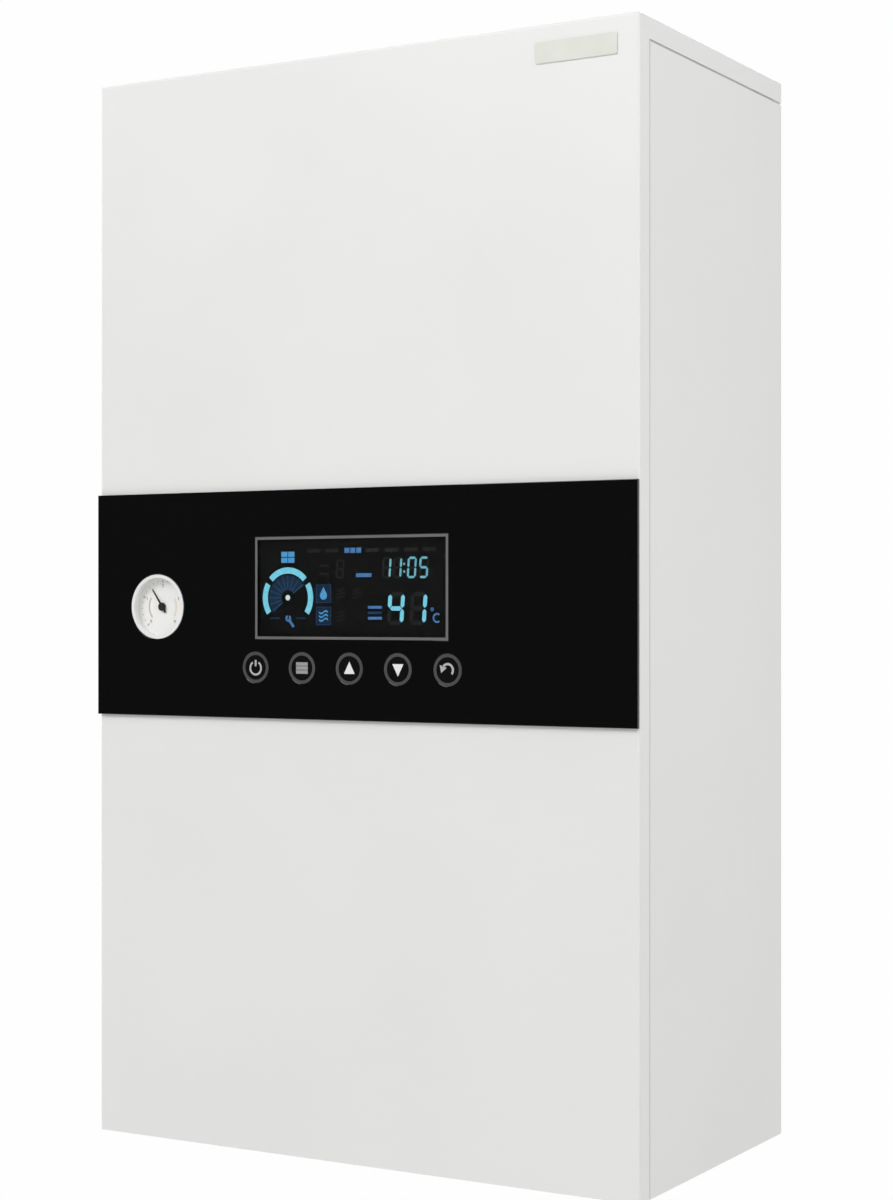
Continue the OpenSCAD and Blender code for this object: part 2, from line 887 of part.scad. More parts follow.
// Pointer on its pin, turned left of upright at rest
module gauge_pointer() {
  y0 = dial_y - pointer_gap - pointer_t;
  color("black") translate([gauge_x, 0, gauge_z]) {
    bar_y(0, 0, y0 - pointer_t, dial_y - pointer_gap, pointer_hub_r);
    bar_y(0, 0, dial_y - pointer_gap, dial_y + dial_t + gauge_nose / 2, pointer_pin_r);
    rotate([0, -pointer_rest, 0]) along_y(y0, y0 + pointer_t)
      polygon([[-pointer_w / 2, -pointer_tail], [pointer_w / 2, -pointer_tail], [pointer_w / 6, pointer_len],
        [-pointer_w / 6, pointer_len]]);
  }
}

module gauge_lens() {
  color([0.8, 0.9, 0.95, 0.35]) translate([gauge_x, 0, gauge_z])
    bar_y(0, 0, gauge_y + lens_t, gauge_y + 2 * lens_t, gauge_r - gauge_wall - fit);
}

// Plate behind the side panel's front fold that the gauge sits in
module gauge_bracket() {
  y0 = side_y + sheet_t;
  color("silver") difference() {
    block([-in_w, y0, gauge_z - bracket_rim], [gauge_x + bracket_rim, y0 + bracket_plate,
      gauge_z + bracket_rim]);
    bar_y(gauge_x, gauge_z, y0 - over, y0 + bracket_plate + over, gauge_r + fit);
  }
}

// Thin tube from the gauge down in front of the pipes to the return group
module gauge_capillary() {
  start = gauge_y + gauge_t + gauge_nose;
  low = flow_z + heat_bend / 6;
  color("peru") pipe([[gauge_x, start, gauge_z], [gauge_x, capillary_y, gauge_z], [gauge_x, capillary_y, low],
    [capillary_x, capillary_y, low], [capillary_x, capillary_y, capillary_z],
    [return_x, capillary_y, capillary_z], [return_x, pipe_y - port_nose, capillary_z]],
    capillary_bend, capillary_r, 0);
}

// Half section of the tank: straight wall with a round lower corner
module tank_section(r, h, k) {
  translate([0, k]) square([r, h - k]);
  square([r - k, h]);
  translate([r - k, k]) circle(k);
}

// Welded tank with its flange ring, nozzles, sensor pocket and two straps to the back panel
module tank() {
  color("lightsteelblue") difference() {
    union() {
      translate([return_x, pipe_y, tank_bot]) rotate_extrude() tank_section(tank_r, tank_h, knuckle);
      bar_z(return_x, pipe_y, tank_top - flange_t, tank_top, flange_r);
      bar_x(pipe_y, tee_z, tee_x + tee_reach, return_x - tank_r + tank_wall, heat_r);
      bar_z(return_x, pipe_y, pump_top, tank_bot + tank_wall, heat_r);
      bar_x(bulb_y, bulb_z, return_x - tank_r - bulb_len / 2, return_x - tank_r + bulb_len, bulb_boss_r);
      for (z = [tank_bot + strap_inset, tank_top - strap_inset - strap_h]) {
        block([strap_x, pipe_y, z], [strap_x + strap_t, panel_y, z + strap_h]);
        block([strap_x, panel_y - strap_t, z], [strap_x + strap_foot, panel_y, z + strap_h]);
      }
    }
    translate([return_x, pipe_y, tank_bot + tank_wall])
      rotate_extrude() tank_section(tank_r - tank_wall, tank_h, knuckle - tank_wall);
    bar_x(pipe_y, tee_z, tee_x, return_x, heat_bore);
    bar_z(return_x, pipe_y, pump_top - over, tank_bot + knuckle, heat_bore);
    bar_x(bulb_y, bulb_z, return_x - tank_r - bulb_len, return_x - tank_r + bulb_len / 4, bulb_r + fit);
    flange_holes();
  }
}

// Places its children on every bolt of the flange
module round_flange() {
  for (i = [0 : bolt_count - 1])
    translate([return_x, pipe_y, 0]) rotate(360 * (i + 0.5) / bolt_count)
      translate([bolt_circle, 0, 0]) children();
}

module flange_holes() {
  round_flange() bar_z(0, 0, tank_top - flange_t - over, heater_top + over, bolt_r + bolt_gap);
}

module flange_gasket() {
  color("black") difference() {
    bar_z(return_x, pipe_y, tank_top, heater_z, flange_r);
    bar_z(return_x, pipe_y, tank_top - over, heater_z + over, tank_r - tank_wall);
    flange_holes();
  }
}

// One hairpin in its own x and z, with its insulators and studs
module hairpin() {
  bend = (leg_out - leg_in) / 2;
  for (x = [leg_in, leg_out]) {
    bar_z(x, 0, leg_low, heater_top, element_r);
    bar_z(x, 0, heater_top, heater_top + insulator_h, insulator_r);
    bar_z(x, 0, heater_top + insulator_h, heater_top + insulator_h + stud_h, stud_r);
  }
  translate([leg_in + bend, 0, leg_low]) rotate([-90, 0, 0])
    rotate_extrude(angle = 180) translate([bend, 0]) circle(element_r);
}

// Heater flange with its brazed hairpins
module heater_bundle() {
  color("slategray") {
    difference() {
      bar_z(return_x, pipe_y, heater_z, heater_top, flange_r);
      flange_holes();
    }
    for (i = [0 : hairpins - 1]) translate([return_x, pipe_y, 0]) rotate(360 * i / hairpins) hairpin();
  }
}

module flange_bolts() {
  color("dimgray") round_flange() {
    hex_z(0, 0, heater_top, heater_top + bolt_head_h, bolt_head_w);
    bar_z(0, 0, tank_top - flange_t - bolt_head_h - bolt_r, heater_top, bolt_r);
    hex_z(0, 0, tank_top - flange_t - bolt_head_h, tank_top - flange_t, bolt_head_w);
  }
}

// Automatic air vent on the tee
module air_vent_body() {
  z0 = tee_z + tee_r;
  color("goldenrod") difference() {
    union() {
      bar_z(tee_x, pipe_y, z0, z0 + vent_neck, small_body_r);
      bar_z(tee_x, pipe_y, z0 + vent_neck, z0 + vent_h, vent_r);
      bar_z(tee_x, pipe_y, z0 + vent_h, z0 + vent_h + spigot_h, spigot_r);
    }
    bar_z(tee_x, pipe_y, z0 - over, z0 + vent_h - vent_neck, vent_r / 3);
    bar_z(tee_x, pipe_y, z0, z0 + vent_h + spigot_h + over, spigot_r / 3);
  }
}

module air_vent_cap() {
  z0 = tee_z + tee_r + vent_h + slip;
  color("black") difference() {
    bar_z(tee_x, pipe_y, z0, z0 + spigot_h + cap_t, cap_r);
    bar_z(tee_x, pipe_y, z0 - over, z0 + spigot_h, spigot_r + fit);
    translate([tee_x, pipe_y, 0]) for (i = [0 : cap_ribs - 1]) rotate(360 * i / cap_ribs)
      bar_z(cap_r + fit, 0, z0 - over, z0 + spigot_h + cap_t + over, cap_rib_r);
  }
}

// The pressed vessel's form, drawn in by an inset
module vessel_form(inset) {
  w = vessel_w - 2 * seam_proud - 2 * inset;
  h = vessel_h - 2 * seam_proud - 2 * inset;
  t = vessel_t - 2 * inset;
  mid_z = vessel_top - vessel_h / 2;
  intersection() {
    along_y(vessel_y - t / 2, vessel_y + t / 2) translate([0, mid_z]) round_rect(w, h, vessel_corner - inset);
    translate([0, vessel_y, mid_z - h / 2]) linear_extrude(h) round_rect(w, t, vessel_edge - inset);
    translate([-w / 2, vessel_y, mid_z]) rotate([90, 0, 90]) linear_extrude(w)
      round_rect(t, h, vessel_edge - inset);
  }
}

// Flat pressed vessel with a seam round its middle and a nozzle below
module expansion_vessel() {
  low = vessel_top - vessel_h;
  color("firebrick") difference() {
    union() {
      vessel_form(0);
      along_y(vessel_y - seam_t / 2, vessel_y + seam_t / 2) translate([0, low + vessel_h / 2])
        round_rect(vessel_w, vessel_h, vessel_corner);
      bar_z(return_x, vessel_y, low - nozzle_h, low + vessel_edge, nozzle_r);
    }
    vessel_form(vessel_wall);
    bar_z(return_x, vessel_y, low - nozzle_h - over, low + vessel_edge, hose_bore);
  }
}

module vessel_hose() {
  color("darkgray") pipe([[return_x, vessel_y, vessel_top - vessel_h - nozzle_h],
    [return_x, vessel_y, hose_z],
    [return_x, pipe_y + port_nose, hose_z]], hose_bend, hose_r, hose_bore);
}

// Tee under the air vent and the copper pipe from there down to the diverter valve
module flow_pipe() {
  color("peru") {
    difference() {
      union() {
        bar_z(tee_x, pipe_y, tee_z - tee_reach, tee_z + tee_r, tee_r);
        bar_x(pipe_y, tee_z, tee_x, tee_x + tee_reach, tee_r);
      }
      bar_z(tee_x, pipe_y, tee_z - tee_reach - over, tee_z + heat_bore, heat_bore);
      bar_z(tee_x, pipe_y, tee_z, tee_z + tee_r + over, vent_r / 3);
      bar_x(pipe_y, tee_z, tee_x, tee_x + tee_reach + over, heat_bore);
    }
    pipe([[tee_x, pipe_y, tee_z - tee_reach], [tee_x, pipe_y, flow_z], [flow_x, pipe_y, flow_z],
      [flow_x, pipe_y, diverter_top]], heat_bend, heat_r, heat_bore);
  }
}

// Tail below a group: a collar through the bottom panel and the threaded end
module tail(x, r) {
  bar_z(x, pipe_y, bot_z, group_z, r + collar);
  bar_z(x, pipe_y, tail_z, bot_z, r);
}

// Brass body with the paddle chamber, the branch to the heat exchanger and the flow tail
module diverter_valve() {
  color("goldenrod") difference() {
    union() {
      tail(flow_x, heat_tail_r);
      bar_z(flow_x, pipe_y, group_z, diverter_top - body_r, body_r);
      bar_z(flow_x, pipe_y, diverter_top - body_r, diverter_top, heat_r);
      bar_y(flow_x, diverter_z, pipe_y - spindle_boss, pipe_y, small_body_r);
      bar_x(pipe_y, hx_z + hx_port_z, flow_x, flow_x + body_r + collar, branch_r);
    }
    bar_z(flow_x, pipe_y, tail_z - over, diverter_top + over, heat_bore);
    bar_z(flow_x, pipe_y, diverter_z - chamber_h / 2, diverter_z + chamber_h / 2, chamber_r);
    bar_y(flow_x, diverter_z, pipe_y - spindle_boss - over, pipe_y, spindle_r + fit);
    bar_x(pipe_y, hx_z + hx_port_z, flow_x, flow_x + body_r + collar + over, branch_bore);
  }
  color("peru") pipe([[flow_x + body_r + collar, pipe_y, hx_z + hx_port_z],
    [hx_x - hx_port_x, pipe_y, hx_z + hx_port_z], [hx_x - hx_port_x, hx_front - hx_port_len,
      hx_z + hx_port_z]],
    water_bend, branch_r, branch_bore);
}

// Spindle with its paddle; it slides into the wall side of the chamber
module diverter_spindle() {
  color("silver") {
    bar_y(flow_x, diverter_z, pipe_y - paddle_set, pipe_y - paddle_set + paddle_t, paddle_r);
    bar_y(flow_x, diverter_z, pipe_y - spindle_boss - 2 * spindle_travel, pipe_y - paddle_set, spindle_r);
  }
}

module diverter_motor() {
  y1 = pipe_y - spindle_boss;
  color("dimgray") difference() {
    union() {
      along_y(y1 - motor_d, y1 - motor_corner) translate([flow_x, diverter_z])
        round_rect(motor_w, motor_h, motor_corner);
      bar_y(flow_x, diverter_z, y1 - motor_corner, y1, motor_w / 3);
    }
    bar_y(flow_x, diverter_z, y1 - 3 * spindle_travel, y1 + over, spindle_r + fit);
  }
}

// Stack of pressed plates between two end plates, with four ports and feet to the back panel
module plate_heat_exchanger() {
  step = hx_t / hx_plates;
  color("silver") difference() {
    union() {
      for (i = [0 : hx_plates - 1]) {
        in = i % 2 == 0 ? 0 : hx_step;
        along_y(hx_front + i * step, hx_front + (i + 1) * step) translate([hx_x, hx_z])
          round_rect(hx_w - 2 * in, hx_h - 2 * in, 2 * hx_foot - in);
      }
      for (x = [-1, 1], z = [-1, 1])
        bar_y(hx_x + x * hx_port_x, hx_z + z * hx_port_z, hx_front - hx_port_len, hx_front, branch_r);
      for (x = [-1, 1]) translate([hx_x + x * (hx_w / 2 - 2 * hx_foot) - hx_foot / 2, hx_y, hx_z - hx_foot])
        cube([hx_foot, hx_back, 2 * hx_foot]);
    }
    for (x = [-1, 1], z = [-1, 1]) bar_y(hx_x + x * hx_port_x, hx_z + z * hx_port_z,
      hx_front - hx_port_len - over, hx_y - step, z * x > 0 ? water_bore - collar : branch_bore - collar);
  }
}

// Brass body under the pump: return tail, branches and ports for hose, gauge, drain and filling
module return_group() {
  color("goldenrod") difference() {
    union() {
      tail(return_x, heat_tail_r);
      bar_z(return_x, pipe_y, group_z, pump_low - body_r, body_r);
      bar_z(return_x, pipe_y, pump_low - body_r, pump_low, heat_r);
      bar_x(pipe_y, hx_z + hx_port_z, return_x - body_r - collar, return_x, branch_r);
      bar_x(pipe_y, safety_z, return_x, safety_x - safety_r, small_body_r);
      bar_y(return_x, hose_z, pipe_y, pipe_y + port_nose, nozzle_r);
      bar_y(return_x, capillary_z, pipe_y - port_nose, pipe_y, gauge_nose_r);
      bar_y(return_x, drain_z, pipe_y - port_nose, pipe_y, drain_boss_r);
      bar_x(pipe_y, fill_z, return_x - body_r - collar, return_x, fill_r);
    }
    bar_z(return_x, pipe_y, tail_z - over, pump_low + over, heat_bore);
    bar_x(pipe_y, hx_z + hx_port_z, return_x - body_r - collar - over, return_x, branch_bore);
    bar_x(pipe_y, safety_z, return_x, safety_x, fill_bore);
    bar_y(return_x, hose_z, pipe_y, pipe_y + port_nose + over, hose_bore);
    bar_y(return_x, drain_z, pipe_y - port_nose - over, pipe_y, stem_r + fit);
    bar_x(pipe_y, fill_z, return_x - body_r - collar - over, return_x, fill_bore);
  }
  color("peru") pipe([[return_x - body_r - collar, pipe_y, hx_z + hx_port_z],
    [hx_x + hx_port_x, pipe_y, hx_z + hx_port_z], [hx_x + hx_port_x, hx_front - hx_port_len,
      hx_z + hx_port_z]],
    water_bend, branch_r, branch_bore);
}

// Spiral outline that grows by one step over a full turn
module spiral(r, grow) {
  steps = 60;
  polygon([for (i = [0 : steps]) (r + grow * i / steps) * [sin(360 * i / steps), cos(360 * i / steps)]]);
}

// Volute casing: spiral chamber in front, suction way behind it, ports above and below
module pump_housing() {
  color("saddlebrown") difference() {
    union() {
      along_y(volute_front, volute_back) translate([return_x, pump_z])
        spiral(volute_r - volute_grow, volute_grow);
      bar_z(return_x, pipe_y, pump_low, pump_top, heat_r);
      bar_z(return_x, pipe_y, pump_z - volute_r - collar, pump_z + volute_r + collar, body_r + collar);
      bar_y(return_x, pump_z, volute_front, volute_front + motor_flange_t, motor_flange_r);
    }
    along_y(chamber_front, chamber_back) translate([return_x, pump_z])
      spiral(volute_r - volute_grow - volute_wall, volute_grow);
    bar_y(return_x, pump_z, volute_front - over, chamber_back, impeller_r + over);
    bar_z(return_x, pipe_y, pump_z + impeller_r, pump_top + over, heat_bore - collar);
    bar_z(return_x, pipe_y, pump_low - over, pump_z - volute_r + body_r / 2, heat_bore - collar);
    bar_z(return_x, suction_y, pump_z - volute_r + volute_wall, pump_z, suction_r);
    bar_y(return_x, pump_z, chamber_back - over, suction_y, eye_r);
  }
}

// Finned motor can with its terminal box; the bearings run on the rotor's shaft
module pump_motor() {
  y0 = volute_front - motor_len;
  y1 = volute_front;
  color("firebrick") difference() {
    union() {
      bar_y(return_x, pump_z, y1 - motor_flange_t, y1, motor_flange_r);
      along_y(y0 + motor_cap, y1 - motor_flange_t) translate([return_x, pump_z]) {
        circle(motor_r - fin_w);
        for (i = [0 : fins - 1]) rotate(360 * i / fins) translate([0, -fin_w / 2]) square([motor_r, fin_w]);
      }
      bar_y(return_x, pump_z, y0, y0 + motor_cap, motor_r - fin_w);
      bar_y(return_x, pump_z, y0 - motor_plug_t, y0, motor_plug_r);
      translate([return_x + motor_r - 2 * fin_w, y0 + motor_cap, pump_z - terminal_box / 2])
        cube([terminal_reach, terminal_box, terminal_box]);
    }
    bar_y(return_x, pump_z, y0 + motor_cap, y1 - motor_flange_t, can_r);
    bar_y(return_x, pump_z, y0 + rotor_gap, y1 + over, shaft_r + fit);
  }
}

// Shaft, magnet rotor and closed impeller with curved vanes
module pump_rotor() {
  y0 = volute_front - motor_len;
  y2 = impeller_front;
  color("lightgray") {
    bar_y(return_x, pump_z, y0 + 2 * rotor_gap, y2 + impeller_t, shaft_r);
    bar_y(return_x, pump_z, y0 + motor_cap + rotor_gap, volute_front - motor_flange_t - rotor_gap, rotor_r);
    bar_y(return_x, pump_z, y2, y2 + shroud_t, impeller_r - over);
    along_y(y2, y2 + impeller_t - shroud_t) translate([return_x, pump_z]) {
      circle(hub_r);
      for (i = [0 : vanes - 1]) rotate(360 * i / vanes) vane();
    }
    along_y(y2 + impeller_t - shroud_t, y2 + impeller_t) translate([return_x, pump_z])
      ring(impeller_r - over, eye_r);
  }
}

// One backward-curved vane: an arc from the hub to the rim
module vane() {
  intersection() {
    translate([vane_r - vane_t / 2, 0]) ring(vane_r, vane_r - vane_t);
    circle(impeller_r - 2 * over);
    translate([-hub_r / 2, 0]) square([2 * impeller_r, impeller_r]);
  }
}

// Hexagon nuts of the unions and the lock nuts on the bottom panel
module union_nut(x, z, r) {
  difference() {
    hex_z(x, pipe_y, z - nut_h, z + nut_h, r + nut_w);
    bar_z(x, pipe_y, z - nut_h - over, z + nut_h + over, r + fit);
  }
}

module union_nuts() {
  color("goldenrod") {
    union_nut(return_x, pump_top, heat_r);
    union_nut(return_x, pump_low, heat_r);
    union_nut(flow_x, diverter_top, heat_r);
    for (x = [flow_x, return_x]) lock_nut(x, heat_tail_r);
    for (x = [hot_x, cold_x]) lock_nut(x, water_tail_r);
  }
}

module lock_nut(x, r) {
  difference() {
    hex_z(x, pipe_y, floor_z, floor_z + nut_h, r + nut_w);
    bar_z(x, pipe_y, floor_z - over, floor_z + nut_h + over, r + collar + fit);
  }
}

// Safety valve: inlet from the left, outlet down, knob in front
module safety_valve() {
  color("goldenrod") difference() {
    union() {
      bar_y(safety_x, safety_z, pipe_y - safety_depth, pipe_y + safety_depth, safety_r);
      bar_y(safety_x, safety_z, pipe_y - safety_depth - safety_nose, pipe_y - safety_depth, small_body_r);
      bar_z(safety_x, pipe_y, safety_z - safety_drop, safety_z, safety_out_r);
    }
    bar_x(pipe_y, safety_z, safety_x - safety_r - over, safety_x, fill_bore);
    bar_z(safety_x, pipe_y, safety_z - safety_drop - over, safety_z, water_bore);
    bar_y(safety_x, safety_z, pipe_y - safety_depth - safety_nose - over, pipe_y - stem_in, stem_r + fit);
  }
}

// A knob with thumb notches, drawn in x and z
module knob_outline(r) {
  difference() {
    circle(r);
    for (i = [0 : knob_lobes - 1]) rotate(360 * i / knob_lobes) translate([r + knob_notch_r / 2, 0])
      circle(knob_notch_r);
  }
}

module safety_valve_knob() {
  y1 = pipe_y - safety_depth - safety_nose - slip;
  color("red") {
    along_y(y1 - knob_t, y1) translate([safety_x, safety_z]) knob_outline(knob_r);
    bar_y(safety_x, safety_z, y1, pipe_y - safety_depth, stem_r);
  }
}

// Copper pipe down through the bottom panel, with a socket for the drain pipe
module discharge_pipe() {
  top = safety_z - safety_drop;
  color("peru") difference() {
    union() {
      bar_z(safety_x, pipe_y, tail_z + socket_len, top, water_r);
      bar_z(safety_x, pipe_y, tail_z, tail_z + socket_len + collar, socket_r);
    }
    bar_z(safety_x, pipe_y, tail_z - over, top + over, water_bore);
    bar_z(safety_x, pipe_y, tail_z - over, tail_z + socket_len, water_r + fit);
  }
}

// Cold inlet block with its tail, and the filling valve that links it to the return group
module filling_group() {
  end = return_x - body_r - collar;
  color("goldenrod") difference() {
    union() {
      tail(cold_x, water_tail_r);
      block([cold_x - block_w / 2, pipe_y - block_w / 2, group_z],
        [cold_x + block_w / 2, pipe_y + block_w / 2, block_z]);
      bar_x(pipe_y, fill_z, cold_x, end, fill_r);
      bar_z(fill_x, pipe_y, group_z, block_z, small_body_r);
    }
    bar_z(cold_x, pipe_y, tail_z - over, block_z + over, water_bore);
    bar_x(pipe_y, fill_z, cold_x, end + over, fill_bore);
    bar_z(fill_x, pipe_y, group_z - over, fill_z, stem_r + fit);
  }
}

module filling_valve_knob() {
  z1 = bot_z - fill_knob_gap;
  color("blue") {
    translate([fill_x, pipe_y, z1 - fill_knob_t]) linear_extrude(fill_knob_t) knob_outline(fill_knob_r);
    bar_z(fill_x, pipe_y, z1, group_z + stem_r, stem_r);
  }
}

module drain_knob() {
  y1 = pipe_y - port_nose - slip;
  color("black") {
    along_y(y1 - drain_knob_t, y1) translate([return_x, drain_z]) knob_outline(drain_knob_r);
    bar_y(return_x, drain_z, y1, y1 + stem_in, stem_r);
  }
}

// Turbine flow sensor above the cold inlet
module flow_sensor() {
  color("black") difference() {
    union() {
      bar_z(cold_x, pipe_y, block_z, block_z + sensor_h, sensor_r);
      translate([cold_x - sensor_box / 2, pipe_y - sensor_r - sensor_reach,
        block_z + sensor_h / 2 - sensor_box / 2])
        cube([sensor_box, sensor_r + sensor_reach - water_r, sensor_box]);
    }
    bar_z(cold_x, pipe_y, block_z - over, block_z + sensor_h + over, water_bore);
  }
}

module cold_pipe() {
  z = hx_z - hx_port_z;
  color("peru") pipe([[cold_x, pipe_y, block_z + sensor_h], [cold_x, pipe_y, z],
    [hx_x + hx_port_x, pipe_y, z],
    [hx_x + hx_port_x, hx_front - hx_port_len, z]], water_bend, water_r, water_bore);
}

module hot_pipe() {
  z = hx_z - hx_port_z;
  color("peru") {
    pipe([[hx_x - hx_port_x, hx_front - hx_port_len, z], [hx_x - hx_port_x, pipe_y, z], [hot_x, pipe_y, z],
      [hot_x, pipe_y, group_z]], water_bend, water_r, water_bore);
    difference() {
      tail(hot_x, water_tail_r);
      bar_z(hot_x, pipe_y, tail_z - over, group_z + over, water_bore);
    }
  }
}

// Folded tray on the left side panel
module control_tray() {
  front = tray_y - tray_fold;
  color("silver") difference() {
    block([-in_w, front, tray_low], [tray_x, tray_y + sheet_t, tray_top]);
    block([sheet_t - in_w, front - over, tray_low + sheet_t], [tray_x - sheet_t, tray_y, tray_top - sheet_t]);
    bar_x(bulb_y, bulb_z, tray_x - 2 * sheet_t, tray_x + over, wire_hole_r);
    bar_z(contactor_x - pole_pitch, pipe_y + leg_out * sin(lead_turn), tray_top - 2 * sheet_t,
      tray_top + over, wire_hole_r);
    block([sheet_t - in_w + tray_fold, front - over, tray_low - over],
      [sheet_t - in_w + 2 * tray_fold, tray_y, tray_low + 2 * sheet_t]);
  }
}

// Board on four pillars with relays, a transformer and the display header
module main_board() {
  face = tray_y - stand_h - board_t;
  color("darkgreen") {
    block([board_x, face, board_z], [board_x + board_w, face + board_t, board_z + board_h]);
    for (x = [2 * post_r, board_w - 2 * post_r], z = [2 * post_r, board_h - 2 * post_r])
      bar_y(board_x + x, board_z + z, face + board_t, tray_y, post_r);
    for (i = [0 : relays - 1]) translate([board_x + board_in + i * relay_pitch, face - relay[1],
      board_z + board_in])
      cube(relay);
    translate([board_x + board_in, face - coil[1], board_z + board_h - board_in - coil[2]]) cube(coil);
    translate([header_x - header[0] / 2, face - header[1], board_z + board_h - 2 * board_in]) cube(header);
  }
}

// Three-pole contactor with a slot for the slider
module contactor() {
  x0 = contactor_x - contactor_w / 2;
  face = tray_y - contactor_d;
  color("darkslategray") difference() {
    union() {
      block([x0, face + contactor_step, contactor_z], [x0 + contactor_w, tray_y, contactor_z + contactor_h]);
      block([x0, face, contactor_z + contactor_step], [x0 + contactor_w, tray_y,
        contactor_z + contactor_h - contactor_step]);
    }
    for (i = [-1 : 1], z = [contactor_z, contactor_z + contactor_h - contactor_step / 2])
      block([contactor_x + i * pole_pitch - pole_slot / 2, face, z - over],
        [contactor_x + i * pole_pitch + pole_slot / 2, face + contactor_step + pole_slot / 2,
          z + contactor_step / 2 + over]);
    translate([contactor_x, 0, contactor_z + contactor_h / 2]) block(
      [-slider_w / 2, face - over, -slider_h / 2], [slider_w / 2,
        face + slider_in + slider_travel + over, slider_h / 2]);
  }
}

module contactor_slider() {
  face = tray_y - contactor_d;
  color("white") translate([contactor_x, 0, contactor_z + contactor_h / 2]) block(
    [slider_gap - slider_w / 2, face - slider_out, slider_gap - slider_h / 2],
    [slider_w / 2 - slider_gap, face + slider_in, slider_h / 2 - slider_gap]);
}

module terminal_block() {
  color("ivory") difference() {
    translate([strip_x, tray_y - block_strip[1], strip_z]) cube(block_strip);
    for (i = [0 : strip_ways - 1]) bar_y(strip_x + block_strip[0] * (i + 0.5) / strip_ways,
      strip_z + block_strip[2] / 2, tray_y - block_strip[1] - over,
        tray_y - block_strip[1] + strip_screw_d, strip_screw_r);
  }
}

// Safety thermostat with its reset button, and the probe that runs into the tank's pocket
module safety_thermostat() {
  x = thermostat_x + thermostat[0] / 2;
  face = tray_y - thermostat[1];
  color("black") difference() {
    union() {
      translate([thermostat_x, face, thermostat_z]) cube(thermostat);
      bar_y(x, bulb_z, face - button_boss, face, button_boss_r);
    }
    bar_y(x, bulb_z, face - button_boss - over, face - button_boss + button_len, button_r + fit);
  }
  color("peru") {
    bar_x(bulb_y, bulb_z, thermostat_x + thermostat[0], return_x - tank_r - bulb_len, probe_r);
    bar_x(bulb_y, bulb_z, return_x - tank_r - bulb_len, return_x - tank_r, bulb_r);
  }
}

module reset_button() {
  x = thermostat_x + thermostat[0] / 2;
  tip = tray_y - thermostat[1] - button_boss - button_out;
  color("red") bar_y(x, bulb_z, tip, tip + button_len, button_r);
}

// A gland through the bottom panel: nut above, hexagon and dome below
module gland(y, r) {
  out = r + gland_wall;
  low = floor_low - gland_hex_h;
  difference() {
    union() {
      hex_z(gland_x, y, floor_z, floor_z + gland_nut_h, out);
      bar_z(gland_x, y, low, floor_z, r + collar - fit);
      hex_z(gland_x, y, low, floor_low, out);
      bar_z(gland_x, y, low - gland_dome, low, out - collar);
    }
    bar_z(gland_x, y, low - gland_dome - over, floor_z + gland_nut_h + over, r);
  }
}

module cable_glands() {
  color("gray") {
    gland(supply_y, supply_d / 2);
    gland(control_y, control_d / 2);
  }
}

// Three leads from the contactor to the heater studs, and the display cable with its plug
module wiring() {
  top = contactor_z + contactor_h;
  stud = heater_top + insulator_h + stud_h;
  face = tray_y - stand_h - board_t - header[1];
  plug_y = board_y + board_t + socket_t + plug_gap;
  cable_z = board_z + board_h - 2 * board_in + header[2] / 2;
  color("black") for (i = [0 : 2]) {
    a = lead_turn + 360 * i / hairpins;
    x = return_x + leg_out * cos(a);
    y = pipe_y + leg_out * sin(a);
    pole_x = contactor_x + (i - 1) * pole_pitch;
    pipe([[pole_x, y, top], [pole_x, y, top + lead_rise[i]],
      [x, y, top + lead_rise[i]], [x, y, stud]], lead_bend, lead_r, 0);
  }
  color("white") {
    pipe([[header_x, face, cable_z], [header_x, cable_y, cable_z], [socket_x, cable_y, socket_z],
      [socket_x, plug_y + plug_t, socket_z]], lead_bend, cable_r, 0);
    block([socket_x - socket_w / 2, plug_y, socket_z - socket_h / 2],
      [socket_x + socket_w / 2, plug_y + plug_t, socket_z + socket_h / 2]);
  }
}

wall_bracket();
back_panel();
side_panel_left();
side_panel_right();
bottom_panel();
top_rail();
cover_screws();
front_cover();
control_glass();
display_housing();
lcd_module();
display_board();
key_bezels();
power_key();
menu_key();
up_key();
down_key();
back_key();
gauge_case();
gauge_dial();
gauge_pointer();
gauge_lens();
gauge_bracket();
gauge_capillary();
tank();
flange_gasket();
heater_bundle();
flange_bolts();
air_vent_body();
air_vent_cap();
expansion_vessel();
vessel_hose();
flow_pipe();
diverter_valve();
diverter_spindle();
diverter_motor();
plate_heat_exchanger();
return_group();
pump_housing();
pump_motor();
pump_rotor();
union_nuts();
safety_valve();
safety_valve_knob();
discharge_pipe();
filling_group();
flow_sensor();
cold_pipe();
hot_pipe();
filling_valve_knob();
drain_knob();
control_tray();
main_board();
contactor();
contactor_slider();
terminal_block();
safety_thermostat();
reset_button();
cable_glands();
wiring();
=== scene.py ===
# %% [markdown]
# # An electric combi boiler, dressed around its CAD solids
#
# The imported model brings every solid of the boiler: the folded steel case, the
# black glass band with its gauge and keys, and the pump, tank and pipes inside.
# This file gives each of them the finish of the real material, and adds what is
# too thin for a solid: the print on the dial, the symbols on the keys and the
# picture on the display. The CAD model sets every size, so nothing is moved.

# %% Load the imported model
import math

